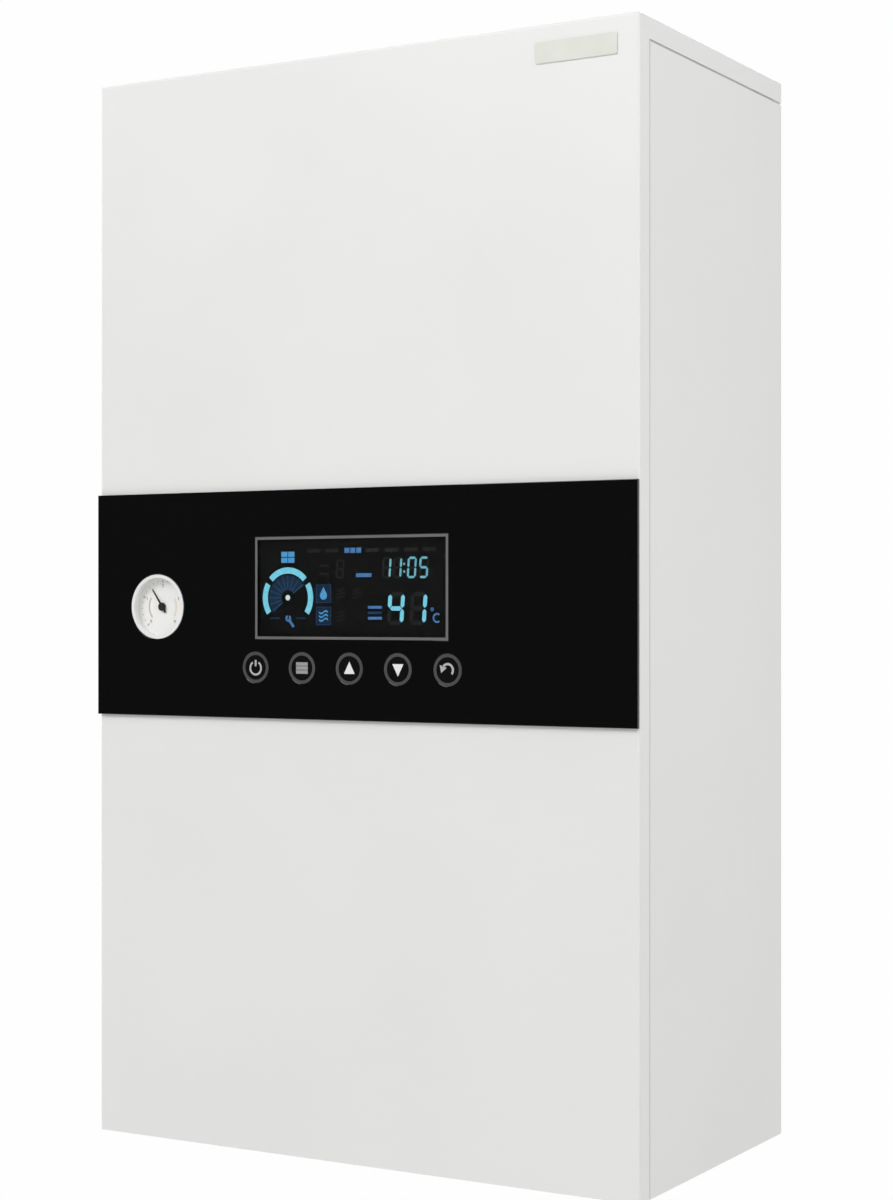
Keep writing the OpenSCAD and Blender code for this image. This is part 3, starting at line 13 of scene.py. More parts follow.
import bpy
import numpy as np
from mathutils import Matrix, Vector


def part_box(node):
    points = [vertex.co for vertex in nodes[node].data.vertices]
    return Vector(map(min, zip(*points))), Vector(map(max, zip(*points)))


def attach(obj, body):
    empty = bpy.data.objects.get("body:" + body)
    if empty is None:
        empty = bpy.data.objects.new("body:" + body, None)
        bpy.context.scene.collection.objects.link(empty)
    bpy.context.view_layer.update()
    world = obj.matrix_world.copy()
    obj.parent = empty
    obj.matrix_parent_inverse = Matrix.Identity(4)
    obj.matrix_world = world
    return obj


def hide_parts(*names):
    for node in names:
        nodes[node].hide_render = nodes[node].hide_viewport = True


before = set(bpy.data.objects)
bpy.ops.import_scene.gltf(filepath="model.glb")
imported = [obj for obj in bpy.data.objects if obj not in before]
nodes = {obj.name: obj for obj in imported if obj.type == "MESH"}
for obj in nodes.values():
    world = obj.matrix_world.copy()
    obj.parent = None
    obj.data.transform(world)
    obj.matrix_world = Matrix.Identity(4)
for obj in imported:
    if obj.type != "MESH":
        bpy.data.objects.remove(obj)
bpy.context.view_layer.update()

MM = 0.001
scene = bpy.context.scene
scene.view_settings.view_transform = "Standard"


def solid_box(node):
    """Lowest and highest corner of a CAD node, as two arrays in millimetres."""
    low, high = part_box(node)
    return np.array(low) / MM, np.array(high) / MM


# %% [markdown]
# ## The camera
#
# The upright edges of the boiler stay parallel in the photograph, so the camera
# was level. It stood to the right of the boiler and looked at it with a longer
# lens. Tilting it would make those edges lean, so a small shift of the lens
# moves the picture up instead.

# %% Camera
eye = bpy.data.cameras.new("camera")
eye.lens, eye.sensor_width, eye.shift_y = 70.19, 36.0, 0.009
camera = bpy.data.objects.new("camera", eye)
camera.location = (0.872, -1.605, -0.342)
camera.rotation_euler = (math.radians(90), 0, math.radians(30.25))
scene.collection.objects.link(camera)
scene.camera = camera

# %% [markdown]
# ## Helpers for colours and shader nodes
#
# Colours are written as the hex values that a screen shows, and one function
# turns them into the linear light that the shaders work with. One more adds a
# node and another links patterns to the shader, so each material below reads as
# a short list. Every pattern lies on Object coordinates, in real sizes.


# %% Colour and node helpers
def rgb(code):
    """Linear colour of an sRGB hex code: c / 12.92 below 0.04045, ((c + 0.055) / 1.055) ^ 2.4 above."""
    c = np.array([int(code[i:i + 2], 16) for i in (1, 3, 5)]) / 255
    c = np.where(c <= 0.04045, c / 12.92, ((c + 0.055) / 1.055) ** 2.4)
    return (*(float(v) for v in c), 1.0)


def add(tree, kind, sockets=None, stops=(), **settings):
    """Adds a node, its kind written without the prefix ShaderNode. Settings are its properties, stops
    the places and colours of a ramp, and a socket gets a value or a link from another socket."""
    node = tree.nodes.new("ShaderNode" + kind)
    for key, value in settings.items():
        setattr(node, key, value)
    for index, (spot, code) in enumerate(stops):
        element = node.color_ramp.elements[index]
        element.position, element.color = spot, rgb(code)
    for key, value in (sockets or {}).items():
        if isinstance(value, bpy.types.NodeSocket):
            tree.links.new(value, node.inputs[key])
        else:
            node.inputs[key].default_value = value
    return node


def new_material(name, **constants):
    """A material with one Principled shader; constants are values on the shader's own sockets.
    Returns the material, its node tree, the shader and the Object coordinates."""
    material = bpy.data.materials.new(name)
    material.use_nodes = True
    tree = material.node_tree
    shader = tree.nodes["Principled BSDF"]
    for key, value in constants.items():
        shader.inputs[key.replace("_", " ")].default_value = value
    material.diffuse_color = shader.inputs["Base Color"].default_value
    return material, tree, shader, add(tree, "TexCoord").outputs["Object"]


def finish(shader, tint=None, gloss=None, bump=None):
    """Links patterns to the shader. Tint is a pattern and the two stops of its ramp, gloss a pattern and
    the roughness at its 0 and 1, and bump a pattern, its strength and its depth in millimetres."""
    tree = shader.id_data
    if tint:
        ramp = add(tree, "ValToRGB", {"Fac": tint[0]}, tint[1:])
        tree.links.new(ramp.outputs["Color"], shader.inputs["Base Color"])
    if gloss:
        span = add(tree, "MapRange", {"Value": gloss[0], "To Min": gloss[1], "To Max": gloss[2]})
        tree.links.new(span.outputs["Result"], shader.inputs["Roughness"])
    if bump:
        skin = add(tree, "Bump", {"Height": bump[0], "Strength": bump[1], "Distance": bump[2] * MM})
        tree.links.new(skin.outputs["Normal"], shader.inputs["Normal"])


def per_mm(size):
    """Texture scale at which one cell of a pattern on Object coordinates is that many millimetres."""
    return 1000.0 / size


# %% [markdown]
# ## Powder-coated steel
#
# The case is folded from 1 mm steel sheet and powder coated. The powder melts in
# an oven into a satin skin that is never quite flat: it ripples like the skin of
# an orange, about 1.5 mm from crest to crest, and it gathers a little dust. A
# mesh that fine would be huge, so a noise drives a bump instead.


# %% Powder coat
def powder_coat(name, colour, dusty, rough):
    """Powder coat: a fine orange-peel ripple, a slow change of shade and of gloss."""
    material, tree, shader, place = new_material(name, IOR=1.5, Base_Color=rgb(colour))
    ripple = {"Vector": place, "Scale": per_mm(1.6), "Detail": 1.5, "Roughness": 0.4}
    peel = add(tree, "TexNoise", ripple).outputs["Fac"]
    cloud = add(tree, "TexNoise", {"Vector": place, "Scale": per_mm(180), "Detail": 2.0}).outputs["Fac"]
    finish(shader, (cloud, (0.3, dusty), (0.7, colour)), (cloud, rough - 0.05, rough + 0.05),
           (peel, 0.12, 0.12))
    return material


white_coat = powder_coat("powder_coated_steel_white", "#EBEBEA", "#E8E8E7", 0.42)
red_coat = powder_coat("powder_coated_steel_red", "#B3231C", "#A81F19", 0.35)
print("powder coats:", white_coat.name, red_coat.name)

# %% [markdown]
# ## Zinc-plated sheet
#
# The back panel, the bracket and the trays are hot-dip galvanised. Zinc freezes
# in crystals, the spangle, each turned its own way. Noise alone has no edges, so
# Voronoi cells draw the crystals, bent a little so that no edge is straight.

# %% Zinc
spangle = per_mm(9)
zinc, tree, shader, place = new_material("galvanised_steel", Metallic=1.0)
wander = add(tree, "TexNoise", {"Vector": place, "Scale": spangle, "Detail": 2.0})
bent = add(tree, "MixRGB", {"Fac": 0.02, "Color1": place, "Color2": wander.outputs["Color"]})
cells = add(tree, "TexVoronoi", {"Vector": bent.outputs["Color"], "Scale": spangle})
grey = add(tree, "SeparateColor", {"Color": cells.outputs["Color"]})
finish(shader, (grey.outputs["Red"], (0.0, "#AEB2B4"), (1.0, "#C3C6C8")), (grey.outputs["Green"], 0.34, 0.52))
print("zinc:", zinc.name)

# %% [markdown]
# ## Plain metals
#
# Copper pipe, pressed brass, stainless steel and cast iron differ in colour and in
# how they were made. Drawn pipe has fine lines along it, brass fittings are
# blasted, the tank is brushed round, and the pump's iron keeps the grain of its
# sand mould under a thin coat of paint. One function makes them all: it has a
# noise for the tarnish and another, stretched along an axis, for the grain.


# %% Metals
def metal(name, bright, dull, rough, patch, grain, depth, metallic=1.0, stretch=(1, 1, 1)):
    """Metal: tarnish in patches between two shades, and a grain. A stretch below 1 draws the grain out
    along that axis, as in a drawn pipe, and one above 1 across it, as on a brushed tank."""
    material, tree, shader, place = new_material(name, Metallic=metallic)
    along = add(tree, "Mapping", {"Vector": place, "Scale": stretch}).outputs["Vector"]
    stain = add(tree, "TexNoise", {"Vector": place, "Scale": per_mm(patch), "Detail": 4.0, "Roughness": 0.6})
    fine = add(tree, "TexNoise", {"Vector": along, "Scale": per_mm(grain), "Detail": 2.0}).outputs["Fac"]
    finish(shader, (stain.outputs["Fac"], (0.35, dull), (0.65, bright)), (fine, rough - 0.08, rough + 0.1),
           (fine, 0.3, depth))
    return material


copper = metal("copper_tube_drawn", "#DB9A72", "#C07F5A", 0.30, 30, 1.2, 0.012, stretch=(1, 1, 0.15))
brass = metal("brass_hot_pressed", "#DDBE74", "#C4A45C", 0.36, 18, 0.8, 0.05)
stainless = metal("stainless_steel_brushed", "#CCCDCB", "#BBBCBB", 0.32, 60, 0.9, 0.03, stretch=(1, 1, 8))
dark_steel = metal("steel_zinc_passivated", "#8B8A82", "#6F6E69", 0.38, 12, 0.7, 0.05)
cast_iron = metal("cast_iron_painted", "#3B4043", "#2E3235", 0.55, 25, 1.4, 0.35, metallic=0.15)
lcd_metal = metal("lcd_frame_tinned_steel", "#8F9294", "#7D8082", 0.35, 20, 0.8, 0.03)
print("metals:", copper.name, brass.name, stainless.name, cast_iron.name)

# %% [markdown]
# ## Moulded plastics and rubber
#
# Knobs, glands and housings are injection moulded. The mould is spark eroded, so
# the plastic copies a fine grain, and the colour runs all the way through. The
# same function serves for rubber and paint, which have a grain of their own.


# %% Plastics
def moulded(name, colour, shade, rough, grain=0.9, depth=0.04, ior=1.53, **constants):
    """Moulded plastic: spark-eroded grain as a bump, a faint shade from flow in the mould."""
    material, tree, shader, place = new_material(name, Base_Color=rgb(colour), IOR=ior, **constants)
    fine = add(tree, "TexNoise", {"Vector": place, "Scale": per_mm(grain), "Detail": 2.0}).outputs["Fac"]
    flow = add(tree, "TexNoise", {"Vector": place, "Scale": per_mm(40), "Detail": 2.0}).outputs["Fac"]
    finish(shader, (flow, (0.35, shade), (0.65, colour)), (fine, rough - 0.04, rough + 0.06),
           (fine, 0.25, depth))
    return material


dark_abs = moulded("abs_plastic_dark", "#2A2C2E", "#26282A", 0.48, depth=0.06)
grey_abs = moulded("abs_plastic_ring_grey", "#4E4E4F", "#484849", 0.40, depth=0.03)
key_black = moulded("polycarbonate_key_black", "#0C0C0D", "#0A0A0B", 0.22, 2.0, 0.01, 1.58)
white_nylon = moulded("nylon_white", "#EFEFED", "#E8E8E6", 0.38)
# White dial paint, set a touch lighter than the paint itself: painted light that makes up for the shade in
# the gauge's recess.
dial_white_with_painted_light = moulded("dial_paint_white", "#FAFAF8", "#F6F6F4", 0.5, 0.9, 0.01, 1.5)
pointer_black = moulded("pointer_paint_black", "#161314", "#121011", 0.65, 0.9, 0.01, 1.5,
                        Specular_IOR_Level=0.12)
black_nylon = moulded("nylon_black", "#161617", "#121213", 0.40)
grey_nylon = moulded("nylon_grey", "#8C8F90", "#848788", 0.45, depth=0.06)
red_nylon = moulded("nylon_red", "#B2261E", "#A6211A", 0.36, depth=0.05)
blue_nylon = moulded("nylon_blue", "#1F4F9A", "#1B478C", 0.36, depth=0.05)
ivory = moulded("urea_resin_ivory", "#DDD6C2", "#D5CDB8", 0.34, ior=1.55)
rubber = moulded("epdm_rubber", "#1B1B1B", "#222222", 0.72, 1.2, 0.15, 1.52)
pvc_wire = moulded("pvc_wire_sheath", "#3A3B3D", "#333436", 0.5, 1.5, 0.05, 1.52)
print("plastics:", dark_abs.name, white_nylon.name, rubber.name)

# %% [markdown]
# ## Black glass and clear lens
#
# The band is float glass, printed black on its back, so the eye sees a deep black
# under a clean reflection. Only the window over the display is left clear. The
# gauge's lens is clear polycarbonate. It is almost wholly see-through instead of
# refracting, which keeps the dial behind it bright.


# %% Glass and lens
def polished(name, patch, detail, low, high, **constants):
    """A smooth face whose roughness drifts between two values, as where a cloth has wiped it."""
    material, tree, shader, place = new_material(name, **constants)
    smear = add(tree, "TexNoise", {"Vector": place, "Scale": per_mm(patch), "Detail": detail})
    finish(shader, gloss=(smear.outputs["Fac"], low, high))
    return material


black_glass = polished("float_glass_back_printed", 60, 3.0, 0.03, 0.07, IOR=1.5, Base_Color=rgb("#0B0B0B"))
smoked_glass = polished("float_glass_smoked", 60, 3.0, 0.0, 0.02, IOR=1.5, Base_Color=rgb("#F4F4F4"),
                        Transmission_Weight=1.0)
clear_lens = polished("polycarbonate_clear", 12, 2.0, 0.02, 0.06, Base_Color=rgb("#C8CACA"), Alpha=0.02)
print("glass:", black_glass.name, smoked_glass.name, clear_lens.name)

# %% [markdown]
# ## Braid and circuit board
#
# The vessel's hose is braided from stainless wire, and the boards are glass fibre
# under green solder mask. Strands and traces are far too many to model, so two
# crossed waves draw the braid, with painted shade in the grooves between its
# strands, and rows of long bricks draw the traces.

# %% Braid
braid, tree, shader, place = new_material("stainless_steel_braid", Metallic=1.0, Roughness=0.35)
strand, lays = 1.0, []
for turn in (45, -45):
    lie = add(tree, "Mapping", {"Vector": place, "Rotation": (0, math.radians(turn), math.radians(45))})
    wave = add(tree, "TexWave", {"Vector": lie.outputs["Vector"], "Scale": per_mm(strand * math.tau)})
    lays.append(wave.outputs["Fac"])
# The product of the waves is low in the grooves between strands. The ramp darkens the steel there as painted
# shade, and the same product drives the bump.
weave_and_groove_shade = add(tree, "Math", dict(enumerate(lays)), operation="MULTIPLY").outputs["Value"]
finish(shader, (weave_and_groove_shade, (0.1, "#5C5E60"), (0.7, "#C3C5C6")), bump=(weave_and_groove_shade, 0.8, 0.4))

# %% Circuit board
board_green, tree, shader, place = new_material("circuit_board_solder_mask", Roughness=0.32, IOR=1.5)
flat = add(tree, "Mapping", {"Vector": place, "Rotation": (math.radians(90), 0, 0)}).outputs["Vector"]
trace = add(tree, "TexBrick", {
    "Vector": flat, "Color1": rgb("#14613A"), "Color2": rgb("#125533"), "Mortar": rgb("#1E7A4A"),
    "Scale": 1.0, "Mortar Size": 0.35 * MM, "Brick Width": 18 * MM, "Row Height": 2.5 * MM})
pads = add(tree, "TexVoronoi", {"Vector": place, "Scale": per_mm(6)})
solder = add(tree, "Math", {0: pads.outputs["Distance"], 1: 0.12}, operation="LESS_THAN")
mix = add(tree, "MixRGB", {
    "Fac": solder.outputs["Value"], "Color1": trace.outputs["Color"], "Color2": rgb("#B9BBB8")})
tree.links.new(mix.outputs["Color"], shader.inputs["Base Color"])
print("braid and board:", braid.name, board_green.name)

# %% [markdown]
# ## Which node has which finish
#
# Every CAD solid keeps its shape and only gets its material here. One table of
# finishes is easier to check than a line for each of the 60 nodes.

# %% Dress the CAD nodes
DRESS = {
    white_coat: "side_panel_left side_panel_right bottom_panel top_rail front_cover",
    zinc: "wall_bracket back_panel gauge_bracket control_tray",
    dark_abs: "display_housing diverter_motor",
    grey_abs: "key_bezels",
    key_black: "power_key menu_key up_key down_key back_key",
    lcd_metal: "lcd_module",
    black_glass: "control_glass",
    board_green: "display_board main_board",
    white_nylon: "gauge_case air_vent_cap",
    dial_white_with_painted_light: "gauge_dial",
    pointer_black: "gauge_pointer",
    black_nylon: "filling_valve_knob pump_rotor safety_thermostat cable_glands",
    clear_lens: "gauge_lens",
    copper: "gauge_capillary flow_pipe cold_pipe hot_pipe discharge_pipe",
    brass: "air_vent_body diverter_valve return_group union_nuts safety_valve filling_group flow_sensor",
    stainless: "tank heater_bundle plate_heat_exchanger diverter_spindle",
    dark_steel: "cover_screws flange_bolts",
    cast_iron: "pump_housing",
    rubber: "flange_gasket",
    red_coat: "expansion_vessel",
    red_nylon: "safety_valve_knob reset_button",
    blue_nylon: "drain_knob contactor_slider",
    grey_nylon: "pump_motor terminal_block",
    ivory: "contactor",
    braid: "vessel_hose",
    pvc_wire: "wiring",
}
for material, names in DRESS.items():
    for name in names.split():
        nodes[name].data.materials.clear()
        nodes[name].data.materials.append(material)
undressed = set(nodes) - {name for names in DRESS.values() for name in names.split()}
assert not undressed, undressed
print("dressed nodes:", len(nodes))

# %% [markdown]
# ## Surfaces from rings of points
#
# Most new pieces are one idea: a ring of points that is carried somewhere. A
# printed shape is its outline, once in front and once behind. A nut is a hexagon
# below and above, a screw head is circles of changing radius, and a lead is a
# circle that follows a path. One function turns all such rings into faces.


# %% Rings to meshes
def loft(rings, closed=False):
    """Points and faces of a surface through rings of points. A face joins a point, the same one on the
    next ring, that one's neighbour and its own neighbour. The two end rings are filled, unless the
    last ring closes on the first. Rings run clockwise round the way they go, so faces point outwards."""
    count, steps = rings.shape[:2]
    i = np.arange(count if closed else count - 1)[:, None] * steps
    j = np.arange(steps)
    k = (j + 1) % steps
    faces = np.stack([i + j, i + steps + j, i + steps + k, i + k], -1) % (count * steps)
    faces = faces.reshape(-1, 4).tolist()
    if not closed:
        end = count * steps
        faces += [list(range(steps)), list(range(end - 1, end - steps - 1, -1))]
    return rings.reshape(-1, 3), faces


def joined(parts):
    """One mesh from several: a part's faces count on from the points of the parts before it."""
    points, faces, first = [], [], 0
    for part, sides in parts:
        points.append(part)
        faces += [[v + first for v in side] for side in sides]
        first += len(part)
    return np.vstack(points), faces


def new_object(name, points, faces, material):
    """A mesh object at the origin, from points in millimetres."""
    mesh = bpy.data.meshes.new(name)
    mesh.from_pydata(points * MM, [], faces)
    mesh.validate()
    mesh.materials.append(material)
    thing = bpy.data.objects.new(name, mesh)
    scene.collection.objects.link(thing)
    return thing


def new_piece(name, points, faces, material, body="chassis"):
    """A mesh object that rides on a body."""
    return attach(new_object(name, points, faces, material), body)


# %% [markdown]
# ## Thin printed shapes
#
# Print, symbols and lit segments are all flat. An image texture could show them,
# but it would blur close up, so each is a slab: an outline in the plane of the
# front with a small thickness. Outlines are worked out from sizes in
# millimetres, x to the right and z up, and many of them make one mesh.

# %% Slabs from outlines
ink_t = 0.03


def print_on(name, outlines, front, thick, material, body="cover"):
    """One piece made of flat slabs. An outline that runs clockwise, seen from the front, has a negative
    area, half the sum of x * next z - next x * z, and is turned round."""
    parts = []
    for outline in outlines:
        flat = np.asarray(outline, float)
        x, z = flat.T
        flat = flat if np.sum(x * np.roll(z, -1) - np.roll(x, -1) * z) > 0 else flat[::-1]
        parts.append(loft(np.stack([np.insert(flat, 1, y, axis=1) for y in (front, front + thick)])))
    piece = new_piece(name, *joined(parts), material, body)
    print(name, "has", len(outlines), "shapes")
    return piece


def box_at(x, z, w, h):
    """Outline of an upright rectangle round its centre."""
    return np.array([[-w, -h], [w, -h], [w, h], [-w, h]]) / 2 + (x, z)


def hollow_box(x, z, w, h, line):
    """Four bars round a rectangle."""
    across = [box_at(x, z + s * (h - line) / 2, w, line) for s in (-1, 1)]
    return across + [box_at(x + s * (w - line) / 2, z, line, h - 2 * line) for s in (-1, 1)]


def arc_band(x, z, inner, outer, start, end, steps=40):
    """Outline of a band between two radii: out along the outer arc, back along the inner one.
    Angles in degrees, 0 upright and clockwise, as on a dial."""
    t = np.radians(np.linspace(start, end, steps))
    arc = np.column_stack([np.sin(t), np.cos(t)])
    return np.vstack([outer * arc, inner * arc[::-1]]) + (x, z)


def disc(x, z, r, steps=32):
    """Outline of a circle."""
    t = np.linspace(0, math.tau, steps, endpoint=False)
    return np.column_stack([x + r * np.cos(t), z + r * np.sin(t)])


def wave_band(x, z, w, rise, line, steps=24):
    """Outline of a wavy line: z = rise * sin(2 pi x / w), shifted up and down by half its width."""
    step = np.linspace(-w / 2, w / 2, steps)
    wave = np.column_stack([x + step, z + rise * np.sin(math.tau * step / w)])
    return np.vstack([wave + (0, line / 2), wave[::-1] - (0, line / 2)])


def turned(shape, degrees, x=0.0, z=0.0):
    """The outline turned clockwise round a point."""
    t = math.radians(-degrees)
    spin = np.array([[math.cos(t), -math.sin(t)], [math.sin(t), math.cos(t)]])
    return (np.asarray(shape) - (x, z)) @ spin.T + (x, z)


# %% [markdown]
# ## Print inks and lit colours
#
# Screen-print ink is flat and slightly rough. What the display shows gives off
# its own light. A lamp behind it would spill, so each segment is an emission
# instead: at strength 1 it shows just as its hex value is written.


# %% Inks and lights
def ink(name, colour, shade):
    """Screen-print ink: a slightly uneven film."""
    return moulded(name, colour, shade, 0.45, 0.8, 0.01, 1.5)


def lit(name, colour, edge):
    """Light of the display: emission of strength 1, a little dimmer in patches, on a black body."""
    material, tree, shader, place = new_material(
        name, Roughness=0.4, Base_Color=rgb("#050505"), Emission_Strength=1.0)
    patch = add(tree, "TexNoise", {"Vector": place, "Scale": per_mm(3), "Detail": 1.0})
    glow = add(tree, "ValToRGB", {"Fac": patch.outputs["Fac"]}, ((0.3, edge), (0.6, colour)))
    tree.links.new(glow.outputs["Color"], shader.inputs["Emission Color"])
    return material


ring_ink = ink("screen_ink_grey", "#6C6C6C", "#666666")
white_ink = ink("screen_ink_white", "#EDEDED", "#E4E4E4")
pale_ink = ink("screen_ink_light_grey", "#BBBBBB", "#B3B3B3")
grey_ink = ink("screen_ink_mid_grey", "#9C9C9C", "#949494")
black_ink = ink("screen_ink_black", "#333333", "#2C2C2C")
rose_ink = ink("screen_ink_rose", "#D3BFB4", "#CCB6AA")
peach_ink = ink("screen_ink_peach", "#F6E8D8", "#F2E2CF")
lcd_black = ink("lcd_polariser_black", "#040404", "#030303")
cyan_light = lit("lcd_segment_cyan", "#83DDF2", "#72D2EC")
clock_light = lit("lcd_segment_pale_cyan", "#7CC2D0", "#63AEC4")
white_light = lit("lcd_segment_white", "#E2F4F5", "#D2ECEF")
blue_light = lit("lcd_segment_blue", "#57A6DC", "#4C9AD2")
slate_light = lit("lcd_segment_slate", "#4F82B8", "#4475AC")
deep_light = lit("lcd_segment_deep_blue", "#1D3C62", "#183454")
fan_light = lit("lcd_segment_fan", "#264A70", "#203F62")
pane_light = lit("lcd_segment_pane", "#112A40", "#0F2537")
ghost_light = lit("lcd_segment_unlit", "#222322", "#1B1C1C")
print("materials so far:", len(bpy.data.materials))

# %% [markdown]
# ## The glass band
#
# The CAD solid is one plate. The real plate is clear only over the display, so it
# is drawn here as a black plate with a window and a smoked pane in that window.
# Cutting the holes with booleans would be slower and could leave slivers. A flat
# curve with holes fills itself, gets its thickness and a fine ground edge, and is
# then made a mesh.

# %% Sizes of the band
glass_low, glass_high = solid_box("control_glass")
glass_front, glass_thick = glass_low[1], glass_high[1] - glass_low[1]
lcd_low, lcd_high = solid_box("lcd_module")
lcd_x, lcd_front, lcd_z = (lcd_low[0] + lcd_high[0]) / 2, lcd_low[1], (lcd_low[2] + lcd_high[2]) / 2
lcd_w, _, lcd_h = lcd_high - lcd_low
gauge_x, _, gauge_z = np.mean(solid_box("gauge_lens"), axis=0)
key_x = [np.mean(solid_box(key + "_key"), axis=0)[0] for key in ("power", "menu", "up", "down", "back")]
key_low, key_high = solid_box("power_key")
key_face, key_z = key_low[1], (key_low[2] + key_high[2]) / 2
gauge_hole, key_hole, ground_edge = 23.7, 11.05, 0.35
print("display at", lcd_x, lcd_z, "gauge at", gauge_x, gauge_z)


# %% Plates with holes
def upright_curve(name, flat, front, thick):
    """Points and faces of a flat curve with a thickness, stood upright: x stays, the curve's y is up,
    and its depth is measured back from the front."""
    shape = bpy.data.objects.new(name, flat)
    scene.collection.objects.link(shape)
    bpy.context.view_layer.update()
    mesh = bpy.data.meshes.new_from_object(shape.evaluated_get(bpy.context.evaluated_depsgraph_get()))
    bpy.data.objects.remove(shape)
    points = np.empty(len(mesh.vertices) * 3, np.float32)
    mesh.vertices.foreach_get("co", points)
    x, y, z = points.reshape(-1, 3).T
    faces = [list(p.vertices) for p in mesh.polygons]
    bpy.data.meshes.remove(mesh)
    return np.column_stack([x, front + thick / 2 - z, y]), faces


def welded(piece):
    """Joins the doubled points along the edges of a filled curve."""
    piece.modifiers.new("weld", "WELD").merge_threshold = 0.01 * MM
    return piece


def plate_with_holes(name, outlines, front, thick, bevel, material):
    """A plate: the first outline filled, the others left open, given a thickness and a small bevel."""
    flat = bpy.data.curves.new(name, "CURVE")
    flat.dimensions, flat.fill_mode = "2D", "BOTH"
    for outline in outlines:
        line, count = flat.splines.new("POLY"), len(outline)
        line.points.add(count - 1)
        corners = np.column_stack([outline, np.zeros(count), np.ones(count)])
        line.points.foreach_set("co", corners.ravel())
        line.use_cyclic_u = True
    flat.extrude, flat.bevel_depth, flat.bevel_resolution = thick / 2 - bevel, bevel, 1
    flat.offset = -bevel
    points, faces = upright_curve(name, flat, front, thick)
    return welded(new_piece(name, points, faces, material, "cover"))


# %% Glass band and display window
(x0, _, z0), (x1, _, z1) = glass_low, glass_high
band = np.array([[x0, z0], [x1, z0], [x1, z1], [x0, z1]])
window = box_at(lcd_x, lcd_z, lcd_w, lcd_h)
openings = [window, disc(gauge_x, gauge_z, gauge_hole, 96)] + [disc(x, key_z, key_hole, 64) for x in key_x]
glass_band = plate_with_holes("glass_band", [band] + openings, glass_front, glass_thick, ground_edge,
                              black_glass)
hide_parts("control_glass")
print_on("display_window", [window], glass_front, glass_thick - 0.1, smoked_glass)
print("glass band:", glass_low, glass_high)

# %% [markdown]
# ## The display's picture
#
# A negative LCD is black with coloured segments. Its picture lies just in front
# of the module, behind the window: a round meter of three arcs on the left, the
# clock on the upper right, the water temperature below it. A few segments that
# are not lit still show faintly. Places are in millimetres from the display's
# lower left corner, so the whole picture moves with the module.

# %% Segments of the display
SEGMENTS = {"0": "abcdef", "1": "bc", "4": "fgbc", "5": "afgcd", "8": "abcdefg"}
LEAN = math.tan(math.radians(4))


def digits(text, places, z, w, h, t):
    """Lit and unlit outlines of seven-segment digits, each with its lower left corner at its place. A
    segment is a bar with pointed ends, and the digits lean: x moves by the lean times the height."""
    near, right, top, mid, tip_gap = t / 2, w - t / 2, h - t / 2, h / 2, 0.12 * t
    bars = {"a": (near, top, right, top), "g": (near, mid, right, mid), "d": (near, near, right, near),
            "f": (near, mid, near, top), "b": (right, mid, right, top),
            "e": (near, near, near, mid), "c": (right, near, right, mid)}
    on, off = [], []
    for value, x in zip(text, places):
        for name, ends in bars.items():
            p, q = np.reshape(ends, (2, 2))
            along = (q - p) / np.linalg.norm(q - p)
            tip, side = along * near, np.array([-along[1], along[0]]) * near
            p, q = p + along * tip_gap, q - along * tip_gap
            shape = np.array([p, p + tip - side, q - tip - side, q, q - tip + side, p + tip + side])
            shape[:, 0] += shape[:, 1] * LEAN
            (on if name in SEGMENTS[value] else off).append(shape + (x, z))
    return on, off


# %% Shapes of the picture
meter = (26.6, 29.2)
arcs = [arc_band(*meter, 17.0, 21.3, a, b) for a, b in ((-48, 48), (60, 124), (-124, -60))]
ray = box_at(meter[0], meter[1] + 10.6, 0.9, 10)
fan = [turned(ray, a, *meter) for a in np.arange(-126, 56, 18.0)]
fan_glow = [arc_band(*meter, 5.4, 15.8, -132, 58)]
hub = [disc(*meter, 1.9, 20)]
grid_icon = [box_at(26.6 + dx, 57.6 + dz, 5.2, 3.6) for dx in (-2.9, 2.9) for dz in (-2.1, 2.1)]
tool = [turned(box_at(29.4, 11.4, 2.0, 7.0), -38, 29.4, 11.4), arc_band(27.0, 14.6, 0.9, 2.4, 20, 340, 18)]
clock, clock_off = digits("1105", (104.0, 112.6, 124.2, 133.6), 42.2, 7.2, 14.7, 1.6)
clock += [box_at(122.2, z, 1.3, 1.5) for z in (46.8, 52.0)]
warm, warm_off = digits("41", (108.2, 126.0), 10.2, 13.2, 22.8, 3.0)
degree = [arc_band(144.4, 21.0, 0.6, 1.3, 0, 350, 18), arc_band(148.2, 15.2, 2.2, 3.4, 140, 400, 24)]
bars = [box_at(98.7, z, 11.2, 1.9) for z in (22.4, 14.9)]
days = [box_at(80.7 + dx, 61.8, 4.0, 3.6) for dx in (-4.8, 0.0, 4.8)] + [box_at(89.6, 44.6, 12.6, 2.6)]
pane_x, upper, lower, rows = 56.5, 31.9, 16.4, (-2.6, 0.0, 2.6)
panes = [box_at(pane_x, z, 10.6, 10.8) for z in (upper, lower)]
drop = [np.vstack([[pane_x, 36.6], arc_band(pane_x, 30.6, 0, 2.9, 60, 300, 20)[:20]])]
waves = [wave_band(pane_x, lower + dz, 7.4, 0.9, 1.1) for dz in rows]
deep = [box_at(x, 14.8, 7.8, 1.0) for x in (15.6, 37.6)] + [box_at(98.7, 18.6, 11.2, 1.9)]
deep += hollow_box(pane_x, upper, 12.6, 12.8, 0.7) + hollow_box(pane_x, lower, 12.6, 12.8, 0.7)
unlit = [box_at(x, 61.8, 10.5, 2.6) for x in (48.3, 63.5, 96.5, 112.2, 127.4, 142.0)]
unlit += digits("8", (66.4,), 42.4, 6.6, 13.0, 1.2)[0] + [box_at(57.0, z, 8.0, 1.4) for z in (45.8, 51.4)]
unlit += [wave_band(x, z + dz, 6.4, 0.7, 0.9) for x, z in ((70.6, upper), (84.0, upper), (70.6, lower))
          for dz in rows]

